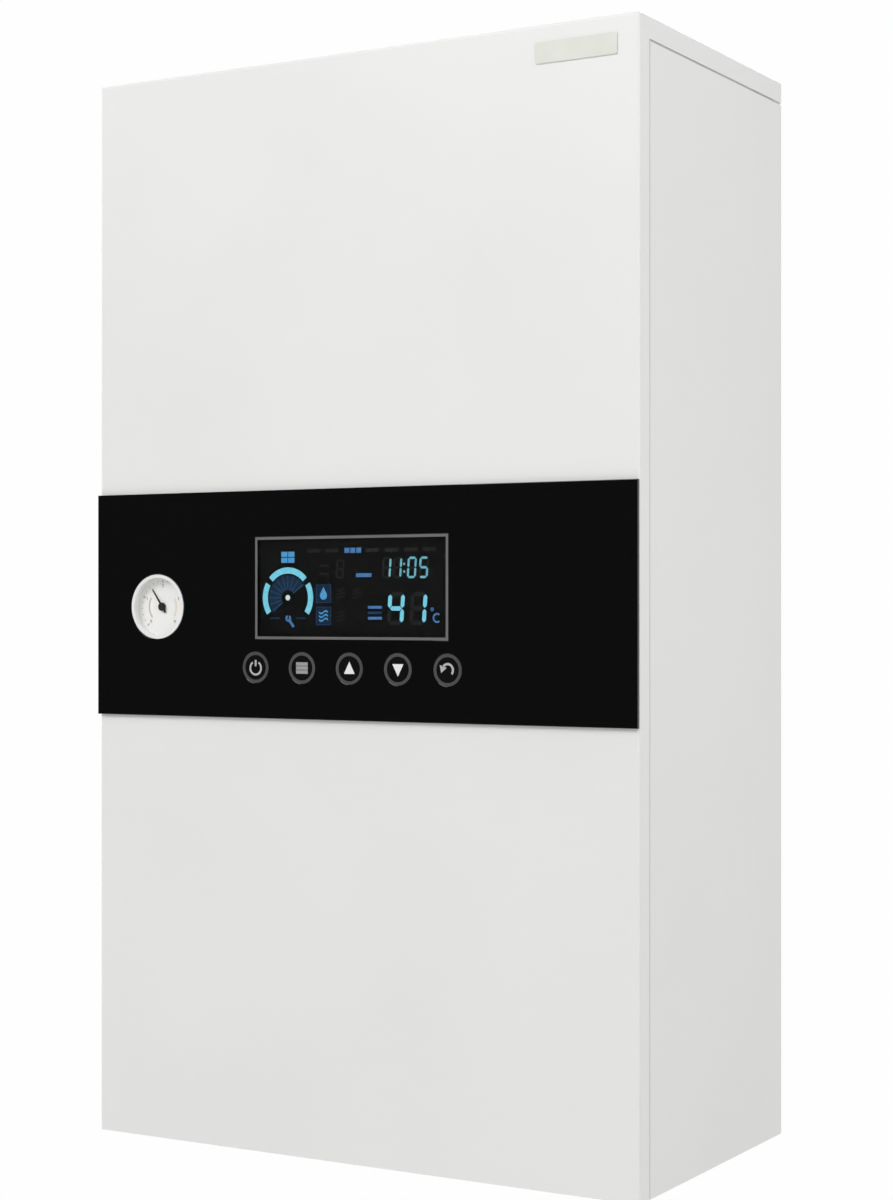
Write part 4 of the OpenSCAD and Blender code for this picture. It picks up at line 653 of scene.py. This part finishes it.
# %% Place the picture
# Each film is a distance in front of the module and a thickness, so that shapes may overlap.
film, film_behind, film_ahead = (0.06, 0.05), (0.04, 0.03), (0.09, 0.03)
picture = {
    "display_arcs": (arcs, cyan_light, film),
    "display_hub": (hub, white_light, film),
    "display_clock": (clock, clock_light, film),
    "display_temperature": (warm, cyan_light, film),
    "display_panes": (panes, pane_light, film),
    "display_fan": (fan, fan_light, film),
    "display_fan_glow": (fan_glow, pane_light, film_behind),
    "display_dashes": (deep, deep_light, film),
    "display_grid_icon": (grid_icon, blue_light, film),
    "display_symbols": (tool + degree + bars + days, slate_light, film),
    "display_unlit": (clock_off + warm_off + unlit, ghost_light, film),
    "display_pane_symbols": (drop + waves, blue_light, film_ahead)}
corner = (lcd_x - lcd_w / 2, lcd_z - lcd_h / 2)
for name, (shapes, light, (ahead, thick)) in picture.items():
    print_on(name, [shape + corner for shape in shapes], lcd_front - ahead, thick, light)
print_on("display_face", [box_at(lcd_x, lcd_z, lcd_w - 0.4, lcd_h - 0.4)], lcd_front - 0.012, 0.01,
         lcd_black)
print_on("display_border", hollow_box(lcd_x, lcd_z, lcd_w, lcd_h, 1.9), glass_front - ink_t, ink_t,
         ring_ink)

# %% [markdown]
# ## Key symbols
#
# Each key carries one printed symbol: power, a menu block, up, down and back. It
# rides on its own key, so it goes in with it. Places are from the key's middle.

# %% Symbols on the keys
symbols = {
    "power": ([arc_band(0, -0.5, 3.9, 5.3, 32, 328), box_at(0, 3.0, 1.5, 4.4)], pale_ink),
    "menu": ([box_at(0, z, 9.8, 2.45) for z in (-2.8, 0.0, 2.8)], grey_ink),
    "up": ([[(-4.4, -3.6), (4.4, -3.6), (0, 4.9)]], white_ink),
    "down": ([[(-4.4, 3.6), (0, -4.9), (4.4, 3.6)]], white_ink),
    "back": ([arc_band(0, 0, 3.3, 4.9, -60, 130), [(-6.2, 3.4), (-5.0, -2.0), (-0.8, 1.6)]], pale_ink)}
for (key, (shapes, colour)), x in zip(symbols.items(), key_x):
    print_on(key + "_symbol", [np.add(shape, (x, key_z)) for shape in shapes], key_face - ink_t, ink_t,
             colour, key + "_key")

# %% [markdown]
# ## The gauge's dial
#
# The dial reads 0 to 4 bar over three quarters of a turn, with fine ticks and
# small numbers, a rose arc at the low end and a peach arc at the high end. The
# numbers come from Blender's own font, because drawn ones would look home-made.

# %% Dial print
dial_face = solid_box("gauge_dial")[0][1]
number_r, number_h = 15.2, 3.2


def bar_angle(value):
    """Angle of a pressure on the dial: 0 bar at -135 degrees, 4 bar at +135."""
    return -135 + 270 * value / 4


def numeral(value):
    """Points and faces of a number on the dial, centred at the radius of the numbers."""
    letters = bpy.data.curves.new("numeral", "FONT")
    letters.body, letters.size, letters.align_x, letters.align_y = str(value), number_h, "CENTER", "CENTER"
    letters.extrude = ink_t / 2
    points, faces = upright_curve("numeral", letters, dial_face - ink_t, ink_t)
    t = math.radians(bar_angle(value))
    return points + (gauge_x + number_r * math.sin(t), 0, gauge_z + number_r * math.cos(t)), faces


numbers = new_piece("dial_numbers", *joined([numeral(value) for value in range(5)]), black_ink)
welded(numbers)
ticks = [turned(box_at(0, 18.4, 0.5, 2.0), bar_angle(v)) for v in range(5)]
ticks += [turned(box_at(0, 18.8, 0.25, 1.2), bar_angle(v / 5)) for v in range(21)]
for name, shapes, colour in (("dial_ticks", ticks, black_ink),
                             ("dial_low_arc", [arc_band(0, 0, 11.6, 12.9, -130, -58)], rose_ink),
                             ("dial_high_arc", [arc_band(0, 0, 11.2, 13.2, 62, 124)], peach_ink)):
    print_on(name, [shape + (gauge_x, gauge_z) for shape in shapes], dial_face - ink_t, ink_t, colour,
             "chassis")

# %% [markdown]
# ## A bare plate on the front
#
# A small anodised plate sits near the upper right corner. It stays bare. It is
# made as the glass is, so that its edge catches the light.

# %% Bare plate
plate_x, plate_z, plate_w, plate_h, plate_t, corner_r = 174.4, 26.0, 60.0, 14.5, 0.8, 1.2
anodised = metal("aluminium_anodised", "#DEDFD7", "#D8D9D1", 0.42, 30, 0.5, 0.02, 0.25, (0.1, 1, 1))


def rounded_box(x, z, w, h, r, steps=8):
    """Outline of a rectangle with round corners: four quarter circles joined by straight edges."""
    turns = []
    for k, (sx, sz) in enumerate(((1, 1), (-1, 1), (-1, -1), (1, -1))):
        middle = (x + sx * (w / 2 - r), z + sz * (h / 2 - r))
        t = np.radians(np.linspace(0, 90, steps) + 90 * k)
        turns.append(np.column_stack([r * np.cos(t), r * np.sin(t)]) + middle)
    return np.vstack(turns)


plate_with_holes("bare_plate", [rounded_box(plate_x, plate_z, plate_w, plate_h, corner_r)],
                 solid_box("front_cover")[0][1] - plate_t, plate_t, 0.25, anodised)
print("bare plate:", plate_w, "x", plate_h, "x", plate_t, "mm")

# %% [markdown]
# ## Under the cover: shapes for small parts
#
# With the cover pulled off, the boards and leads come into view. Three kinds of
# surface make them all: blocks with softened edges, forms turned about an axis
# that points at the viewer, and round tubes carried along a smooth path. A curve
# with a bevel could make the tubes too, but it would twist at tight bends.

# %% Blocks, turned forms and tubes
CORNERS = np.array([[x, y, z] for z in (0, 1) for y in (0, 1) for x in (0, 1)], float)
SIDES = [[0, 2, 3, 1], [4, 5, 7, 6], [0, 1, 5, 4], [2, 6, 7, 3], [0, 4, 6, 2], [1, 3, 7, 5]]


def softened(piece, width):
    """Rounds the edges of a piece with a small bevel."""
    edge = piece.modifiers.new("soft edge", "BEVEL")
    edge.width, edge.segments = width * MM, 2
    return piece


def blocks(name, boxes, soft, material):
    """Blocks between a low and a high corner: low + (high - low) * corner of the unit cube."""
    parts = [(np.array(low) + np.subtract(high, low) * CORNERS, SIDES) for low, high in boxes]
    return softened(new_piece(name, *joined(parts), material), soft)


def turned_forms(name, places, front, profile, material, steps=28):
    """Forms turned about axes along y: each profile point is a radius r and a depth behind the front,
    and the surface is x + r * cos(t), front + depth, z + r * sin(t)."""
    t = np.linspace(0, math.tau, steps, endpoint=False)
    r, depth = np.array(profile, float).T[..., None]
    y = np.repeat(front + depth, steps, 1)
    parts = [loft(np.stack([x + r * np.cos(t), y, z + r * np.sin(t)], -1)) for x, z in places]
    return new_piece(name, *joined(parts), material)


def smooth_path(points, per_step=8):
    """Catmull-Rom curve: between two points a cubic, whose slope at each is half the step between its
    neighbours."""
    p = np.asarray(points, float)
    p = np.vstack([2 * p[0] - p[1], p, 2 * p[-1] - p[-2]])
    t = np.linspace(0, 1, per_step, endpoint=False)[None, :, None]
    a, b, c, d = (p[k:len(p) - 3 + k, None] for k in range(4))
    curve = 2 * b + (c - a) * t + (2 * a - 5 * b + 4 * c - d) * t ** 2 + (3 * b - a - 3 * c + d) * t ** 3
    return np.vstack([curve.reshape(-1, 3) / 2, p[-2]])


def tube(path, r, closed=False, steps=12):
    """A circle carried along the path: centre + r * (side * cos(a) + up * sin(a)). The side vector of
    each step is the last one with its part along the path taken away."""
    along = np.roll(path, -1, 0) - np.roll(path, 1, 0) if closed else np.gradient(path, axis=0)
    along /= np.linalg.norm(along, axis=1, keepdims=True)
    side = np.cross(along[0], (0.31, 0.23, 0.92))
    sides = []
    for step in along:
        side = side - step * (side @ step)
        side = side / np.linalg.norm(side)
        sides.append(side)
    up = np.cross(sides, along)[:, None]
    a = np.linspace(0, math.tau, steps, endpoint=False)[:, None]
    return loft(path[:, None] + r * (np.array(sides)[:, None] * np.cos(a) + up * np.sin(a)), closed)


def tubes(name, paths, r, material, closed=False):
    """Several tubes in one mesh. Their walls are shaded smooth and their ends flat."""
    points, faces = joined([tube(path, r, closed) for path in paths])
    piece = new_piece(name, points, faces, material)
    piece.data.polygons.foreach_set("use_smooth", [len(face) == 4 for face in faces])
    return piece


# %% [markdown]
# ## The control board
#
# The solid of the board is one casting of its plate and the tallest parts. Here
# the plate keeps its green mask, and each part on it gets a housing of its own:
# relays, a transformer with a taped winding, capacitors, a processor and plugs.
# A housing stands a little outside the part of the casting that it covers.

# %% Finishes on the board
relay_black = moulded("relay_housing_black", "#1C1D20", "#18191B", 0.3, 1.0, 0.02)
tape_yellow = moulded("transformer_tape_yellow", "#D8B93A", "#CBAB30", 0.35, 1.0, 0.03, 1.5)
core_steel = metal("laminated_core_steel", "#6E6B66", "#575450", 0.45, 9, 0.7, 0.06)
can_sleeve = moulded("capacitor_sleeve", "#20242B", "#1B1F25", 0.32, 1.0, 0.02)
can_top = metal("capacitor_can_aluminium", "#C9CBCC", "#B9BBBD", 0.3, 8, 0.6, 0.02)
film_blue = moulded("film_capacitor_blue", "#2C5D8F", "#275380", 0.35, 1.0, 0.02)
chip_black = moulded("epoxy_chip_black", "#17181A", "#141516", 0.5, 0.6, 0.02, 1.5)
tin = metal("tinned_legs", "#C2C4C4", "#ADAFAF", 0.32, 5, 0.5, 0.01)

# %% Parts on the control board
board_low, board_high = solid_box("main_board")
tray_low, tray_high = solid_box("control_tray")
stand, board_t, sheet_t, edge_in, skin_t = 8.0, 1.6, 1.0, 14.0, 0.3
tray_face = tray_high[1] - sheet_t
face_y = tray_face - stand - board_t
bx, bz = board_low[0] + edge_in, board_low[2] + edge_in


def on_board(x, z, w, h, rise):
    """A box on the board's face: its lower left corner from the corner part, its size, and its rise."""
    return (bx + x, face_y - rise, bz + z), (bx + x + w, face_y, bz + z + h)


def housing(x, z, w, h, rise):
    """A box that stands a skin outside a part of the casting."""
    return on_board(x - skin_t, z - skin_t, w + 2 * skin_t, h + 2 * skin_t, rise + skin_t)


relay_pitch, relay_size = 28, (20, 30, 16)
blocks("board_relays", [housing(relay_pitch * k, 0, *relay_size) for k in range(4)], 0.8, relay_black)
core_w, core_h, core_rise, limb, yoke = 42, 36, 32, 6, 8
top_z = board_high[2] - bz
coil_z, wide, out = top_z - edge_in - core_h, core_w + 2 * skin_t, core_rise + skin_t
core = [on_board(-skin_t, z, wide, yoke, out) for z in (coil_z - skin_t, coil_z + core_h - yoke + skin_t)]
core += [on_board(x, coil_z, limb, core_h, out) for x in (-skin_t, core_w - limb + skin_t)]
blocks("transformer_core", core, 0.4, core_steel)
blocks("transformer_winding", [on_board(5, coil_z + 7, 32, 22, core_rise + 2.5)], 2.0, tape_yellow)
blocks("board_header", [housing(99, top_z - 28, 24, 8, 8)], 0.4, white_nylon)

# %% Small parts on the control board
cans = [(bx + 56, bz + 78), (bx + 56, bz + 96), (bx + 74, bz + 90)]
sleeve = [(6.0, -19.5), (6.5, -19), (6.5, -2.5), (6.0, -2.0), (6.5, -1.4), (6.5, 0)]
turned_forms("capacitor_sleeves", cans, face_y, sleeve, can_sleeve)
turned_forms("capacitor_tops", cans, face_y, [(5.3, -19.9), (5.5, -19.7), (5.5, -19.0)], can_top)
film_sizes = ((52, 42, 18, 8, 13), (52, 55, 18, 8, 13), (10, 42, 15, 7, 12))
blocks("film_capacitors", [on_board(*size) for size in film_sizes], 0.8, film_blue)
chip_sizes = ((82, 48, 16, 16, 1.6), (30, 52, 8, 10, 2.6), (30, 38, 8, 10, 2.6))
blocks("board_chips", [on_board(*size) for size in chip_sizes], 0.2, chip_black)
leg_pitch, leg_w, across, leg_rise = 1.4, 0.6, 18.8, 0.9
legs = [on_board(83.5 + leg_pitch * k, 46.6, leg_w, across, leg_rise) for k in range(10)]
legs += [on_board(80.6, 49.5 + leg_pitch * k, across, leg_w, leg_rise) for k in range(10)]
blocks("chip_legs", legs, 0.1, tin)
plug_pitch, plug_size = 15, (9, 12, 9)
blocks("board_plugs", [on_board(106, 8 + plug_pitch * k, *plug_size) for k in range(4)], 0.5, white_nylon)
fin_pitch, fin_size = 3.2, (1.4, 25, 15.5)
fins = [on_board(76 + fin_pitch * k, 71, *fin_size) for k in range(7)]
blocks("heat_sink", fins + [on_board(75.6, 70, 21.4, 2, 16)], 0.2, can_top)
small = [on_board(4 + 7.5 * k, 38, 4.2, 1.9, 1.6) for k in range(5)]
small += [on_board(84 + 6 * k, 40, 3.2, 1.6, 1.0) for k in range(4)]
blocks("board_resistors", small, 0.4, tape_yellow)
print("control board face at", face_y, "legs:", len(legs))

# %% [markdown]
# ## Screws
#
# Clamp screws sit in the wells of the terminal block and in the mouths of the
# contactor, and more of them hold the board and its tray. Each is a turned dome
# with a black bar on it, painted shade that stands for the dark of a slot and
# needs no cut.

# %% Screws
DOME = np.array([(0.2, -0.55), (0.6, -0.5), (0.92, -0.3), (1.0, 0.0), (1.0, 1.0)])


def screw_heads(name, places, front, r, material):
    """Pan heads: a low dome round the axis, its profile in parts of r, and a black bar on it, painted shade
    that stands for a slot.
    """
    turned_forms(name, places, front, r * DOME, material)
    low, high = r * np.array([(-0.7, -0.58, -0.14), (0.7, -0.3, 0.14)])
    # The black bar on the steel head is painted shade in place of a slot.
    painted_slot_shades = [(low + (x, front, z), high + (x, front, z)) for x, z in places]
    blocks(name + "_slots", painted_slot_shades, 0.05, chip_black)


def grid(xs, zs):
    """Every pair of an x and a z."""
    return [(x, z) for x in xs for z in zs]


strip_low, strip_high = solid_box("terminal_block")
ways = 5
strip_x = strip_low[0] + (strip_high[0] - strip_low[0]) * (np.arange(ways) + 0.5) / ways
con_low, con_high = solid_box("contactor")
pole_pitch, clamp_r = 18.0, 3.6
poles = [(con_low[0] + con_high[0]) / 2 + pole_pitch * k for k in (-1, 0, 1)]
screws = {
    "terminal_screws": (grid(strip_x, [(strip_low[2] + strip_high[2]) / 2]), strip_low[1] + 3.5, clamp_r),
    "contactor_screws": (grid(poles, (con_low[2] + 9, con_high[2] - 9)), con_low[1] + 4, clamp_r),
    "tray_screws": (grid((tray_low[0] + 8, tray_high[0] - 8), (tray_low[2] + 10, tray_high[2] - 20)),
                    tray_face, 3.4),
    "board_screws": (grid((board_low[0] + 6, board_high[0] - 6), (board_low[2] + 6, board_high[2] - 6)),
                     face_y, 2.8)}
for name, (places, front, r) in screws.items():
    screw_heads(name, places, front, r, dark_steel)
print("screw heads:", [len(places) for places, _, _ in screws.values()])

# %% [markdown]
# ## Foam seals
#
# Grey foam strips lie on the side panels and close the gap under the cover's
# lips. Only their outer edge is seen, as an even grey line. They stop where the
# back panel's rim passes, and are thin where the top rail stands beside them.

# %% Foam seals under the cover's lips
seal_foam = moulded("polyethylene_foam_grey", "#CBCBC9", "#C1C1BF", 0.8, 1.0, 0.1, 1.5)
side_low, side_high = solid_box("side_panel_right")
rail_back = solid_box("top_rail")[1][1]
rim_front, rim_back = -13.0, -12.0
seal_out, seal_in, seal_thin, seal_rise = 0.9, 4.0, 1.2, 1.5
runs = ((side_low[1] + 0.1, rail_back + 0.1, seal_thin), (rail_back + 0.2, rim_front - 0.1, seal_in),
        (rim_back + 0.1, -0.3, seal_in))
seals = []
for s in (-1, 1):
    for start, end, inside in runs:
        left, right = sorted((s * (side_high[0] - inside), s * (side_high[0] - seal_out)))
        seals.append(((left, start, side_high[2]), (right, end, side_high[2] + seal_rise)))
blocks("lid_seals", seals, 0.1, seal_foam)
print("foam seals:", len(seals))

# %% [markdown]
# ## Weld beads, nuts and link ring
#
# A low bead shows where each end of the tank was welded on. On the heater flange
# every stud holds a brass nut, and one copper ring joins the inner studs. All of
# them lie round the tank's axis, so one function places their points.

# %% Beads, nuts and link ring round the tank's axis
tank_foot = solid_box("tank")[0][2]
gasket_low, gasket_high = solid_box("flange_gasket")
axis_x, axis_y, _ = (gasket_low + gasket_high) / 2
stud_base = gasket_high[2] + 18.0
tank_r, stud_r, inner_stud_r = 52.0, 36.0, 14.0


def round_axis(degrees, r, z):
    """Points round the tank's axis."""
    t = np.radians(degrees)
    return np.stack(np.broadcast_arrays(axis_x + r * np.cos(t), axis_y + r * np.sin(t), z), -1)


def hex_nuts(name, places, r, low, high, material):
    """Hexagon nuts round upright axes: six corners above, the same six below."""
    t = np.radians(np.arange(0, 360, 60))
    corners = np.column_stack([r * np.cos(t), r * np.sin(t)])
    parts = [loft(np.stack([np.insert(place + corners, 2, z, axis=1) for z in (high, low)]))
             for place in places]
    return softened(new_piece(name, *joined(parts), material), 0.35)


around = np.linspace(0, 360, 72, endpoint=False)
bead_heights, bead_r = (tank_foot + 56.0, gasket_low[2] - 12.0), 1.1
beads = [round_axis(around, tank_r, z) for z in bead_heights]
tubes("tank_weld_beads", beads, bead_r, stainless, closed=True)
studs = np.vstack([round_axis(np.arange(0, 360, 60), r, 0)[:, :2] for r in (stud_r, inner_stud_r)])
nut_r, nut_foot, nut_top = 4.6, 2.2, 6.0
hex_nuts("stud_nuts", studs, nut_r, stud_base + nut_foot, stud_base + nut_top, brass)
ring_corners = ((10.5, 0.4), (10.5, 1.9), (17.5, 1.9), (17.5, 0.4))
link_rings = np.stack([round_axis(around, r, stud_base + z) for r, z in ring_corners])
new_piece("link_ring", *loft(link_rings, closed=True), copper)
print("studs:", len(studs), "poles:", len(poles))

# %% [markdown]
# ## Leads
#
# Inside, single leads in coloured sheaths run from the terminal block to the
# contactor, and a loom runs from the board's plugs to the pump, the valve motor,
# the flow sensor and the safety thermostat. A simulation could let them sag, but
# they are stiff and tied, so each follows a few given points, x, y and z in
# millimetres, in front of the pipes and clear of the cover.

# %% Leads of the mains side
SHEATHS = {"brown": ("#5A3A28", "#503423"), "grey": ("#8A8D90", "#7F8285"), "blue": ("#2F6FB5", "#2A65A6"),
           "white": ("#DADAD6", "#CFCFCB"), "green": ("#4E8F3C", "#C2C23A")}
sheath = {name: moulded("pvc_sheath_" + name, *shades, 0.45, 1.2, 0.02, 1.52)
          for name, shades in SHEATHS.items()}


def lead(name, r, colour, *paths):
    """Round leads on smooth paths."""
    tubes(name, [smooth_path(path) for path in paths], r, colour)


strip_foot, strip_top, con_foot = strip_low[2] + 2.0, strip_high[2], con_low[2] + 1.0
phases = (sheath["brown"], sheath["grey"], pvc_wire)
for k, (start, end, colour) in enumerate(zip(strip_x[2:], poles, phases)):
    apart = 7.0 * k
    lead("supply_lead_%d" % (k + 1), 2.4, colour, [
        (start, -108, strip_foot), (start, -109, strip_foot - 14), (start + 4, -113, strip_foot - 40 - apart),
        (end - 26 + apart, -132, con_foot - 24 - apart), (end - 4, -156, con_foot - 26),
        (end, -162, con_foot - 10), (end, -162, con_foot + 4)])
earth_x, neutral_x = strip_x[:2]
lead("neutral_lead", 2.2, sheath["blue"], [
    (neutral_x, -108, strip_top - 1), (neutral_x, -110, strip_top + 14), (neutral_x + 12, -122, 2),
    (-120, -140, 8), (-40, -152, 9), (40, -152, 8), (86, -142, 2), (axis_x - 6, axis_y - 3, -12),
    (axis_x - inner_stud_r, axis_y, stud_base + 2)])
lead("earth_lead", 2.0, sheath["green"], [
    (earth_x, -108, strip_foot), (earth_x, -108, strip_foot - 16), (earth_x - 6, -102, strip_foot - 34),
    (earth_x - 8, -95, strip_foot - 40)])
screw_heads("earth_screw", [(earth_x - 8, strip_foot - 40)], tray_face - 2.5, 3.4, brass)

# %% Leads of the control board
plug_x, plug_y, plug_z = bx + 110.0, face_y - 8, [bz + 14 + plug_pitch * k for k in range(3)]
valve_top = solid_box("diverter_motor")[1][2]
pump_end = solid_box("pump_motor")[1][0]
(sensor_x, _, _), (_, _, sensor_top) = solid_box("flow_sensor")
lead("valve_lead", 2.6, sheath["grey"], [
    (plug_x, plug_y, plug_z[0]), (plug_x + 3, -122, plug_z[0] - 2), (-78, -136, -384), (-90, -150, -425),
    (-102, -160, -470), (-110, -168, valve_top + 14), (-112, -172, valve_top - 2)])
lead("pump_lead", 2.6, pvc_wire, [
    (plug_x, plug_y, plug_z[1]), (plug_x + 6, -124, plug_z[1] - 4), (-62, -140, -380), (-38, -154, -424),
    (10, -160, -450), (70, -168, -452), (118, -190, -452), (pump_end - 8, -198, -464),
    (pump_end - 7, -198, -486)])
lead("sensor_lead", 2.6, sheath["white"], [
    (plug_x, plug_y, plug_z[2]), (plug_x + 9, -126, plug_z[2] - 8), (-56, -142, -382), (-46, -158, -430),
    (-30, -164, -500), (-8, -164, -580), (18, -160, -630), (sensor_x + 13, -156, sensor_top + 4),
    (sensor_x + 13, -147, sensor_top - 12)])
stat_x, _, stat_foot = solid_box("safety_thermostat")[0]
board_top = board_high[2]
pair = [[(x, -112, stat_foot + 1), (x, -112, stat_foot - 14), (x + 3, -107, -205),
         (x + 6, face_y - 3, board_top - 6)] for x in (stat_x + 12, stat_x + 28)]
lead("thermostat_leads", 1.4, red_nylon, *pair)
coil_pair = [[(x, -134, con_foot + 1), (x, -136, con_foot - 19), (x - 6, -122, -170), (x - 14, -112, -215),
              (x - 20, face_y - 4, board_top - 8)] for x in (con_high[0] - 6, con_high[0] - 12)]
lead("coil_leads", 1.2, sheath["blue"], *coil_pair)
plugs = []
for leads, half in ((pair, 11), (coil_pair, 6)):
    x, _, z = np.mean([path[-1] for path in leads], axis=0)
    plugs.append(((x - half, plug_y, z - 5), (x + half, face_y, z + 3)))
blocks("lead_plugs", plugs, 0.5, white_nylon)
print("leads end on the board at height", board_top)

# %% [markdown]
# ## World, floor and lamps
#
# The boiler hangs on a wall, so its floor is well below it. The world is white
# wherever the camera, a reflection or clear glass sees past the boiler, and
# darker in front, as in a studio, so that the black glass stays black. Making
# the lamps brighter instead would burn out the white case.

# %% World
AMBIENT, MIRRORED = 0.55, 0.03
world = bpy.data.worlds.new("studio")
scene.world = world
world.use_nodes = True
tree = world.node_tree
tree.nodes.clear()
way = add(tree, "SeparateXYZ", {"Vector": add(tree, "TexCoord").outputs["Generated"]}).outputs["Y"]
behind = add(tree, "MapRange", {"Value": way, "From Min": -0.15, "From Max": 0.15}, clamp=True)
rays = add(tree, "LightPath").outputs
mirror = add(tree, "Math", {0: rays["Is Glossy Ray"], 1: rays["Is Transmission Ray"]}, operation="MAXIMUM")
seen = add(tree, "Math", {0: mirror.outputs["Value"], 1: behind.outputs["Result"]}, operation="MULTIPLY")
white = add(tree, "Math", {0: rays["Is Camera Ray"], 1: seen.outputs["Value"]}, operation="MAXIMUM")
room = add(tree, "MapRange", {"Value": mirror.outputs["Value"], "To Min": AMBIENT, "To Max": MIRRORED})
strength = add(tree, "MapRange", {
    "Value": white.outputs["Value"], "To Min": room.outputs["Result"], "To Max": 1.0})
sky = add(tree, "Background", {"Color": rgb("#FEFEFE"), "Strength": strength.outputs["Result"]})
add(tree, "OutputWorld", {"Surface": sky.outputs["Background"]})

# %% Floor
pale_floor, tree, shader, place = new_material(
    "floor_painted_white", Roughness=0.8, Base_Color=rgb("#F4F4F3"))
spot = add(tree, "Mapping", {"Vector": place, "Scale": (1, 1, 0)})
far = add(tree, "VectorMath", {0: spot.outputs["Vector"]}, operation="LENGTH")
fade = add(tree, "MapRange", {"Value": far.outputs["Value"], "From Min": 1.2, "From Max": 3.1})
glow = add(tree, "Emission", {"Color": rgb("#FEFEFE"), "Strength": 1.0})
camera_ray = add(tree, "LightPath").outputs["Is Camera Ray"]
fade_seen = add(tree, "Math", {0: fade.outputs["Result"], 1: camera_ray}, operation="MULTIPLY")
blend = add(tree, "MixShader", {
    "Fac": fade_seen.outputs["Value"], 1: shader.outputs["BSDF"], 2: glow.outputs["Emission"]})
tree.links.new(blend.outputs["Shader"], tree.nodes["Material Output"].inputs["Surface"])

floor_z, rings, spokes = -1950.0, 24, 96
r = np.linspace(50, 3200, rings)[:, None]
t = np.linspace(0, math.tau, spokes, endpoint=False)
points, faces = loft(np.stack([r * np.cos(t), r * np.sin(t), np.full((rings, spokes), floor_z)], -1))
floor = new_object("floor", points, faces[:-1], pale_floor)


# %% Lamps
def lamp(name, place, size, watts, aim=(0, -0.12, -0.34)):
    """A square soft box at a place, turned to face the middle of the boiler."""
    light = bpy.data.lights.new(name, "AREA")
    light.shape, light.size, light.energy = "SQUARE", size, watts
    holder = bpy.data.objects.new(name, light)
    holder.location = place
    x, y, z = np.subtract(aim, place)
    holder.rotation_euler = (math.atan2(math.hypot(x, y), -z), 0, math.atan2(y, x) - math.pi / 2)
    scene.collection.objects.link(holder)


lamp("key_lamp", (-1.0, -2.9, 1.9), 1.8, 58)
lamp("side_lamp", (1.6, -0.75, 0.1), 0.9, 7.7)
lamp("rear_lamp", (-1.5, 3.0, 1.6), 2.0, 50)
lamp("left_lamp", (-3.2, 0.2, 1.0), 1.8, 24)
print("lamps and floor are in place")
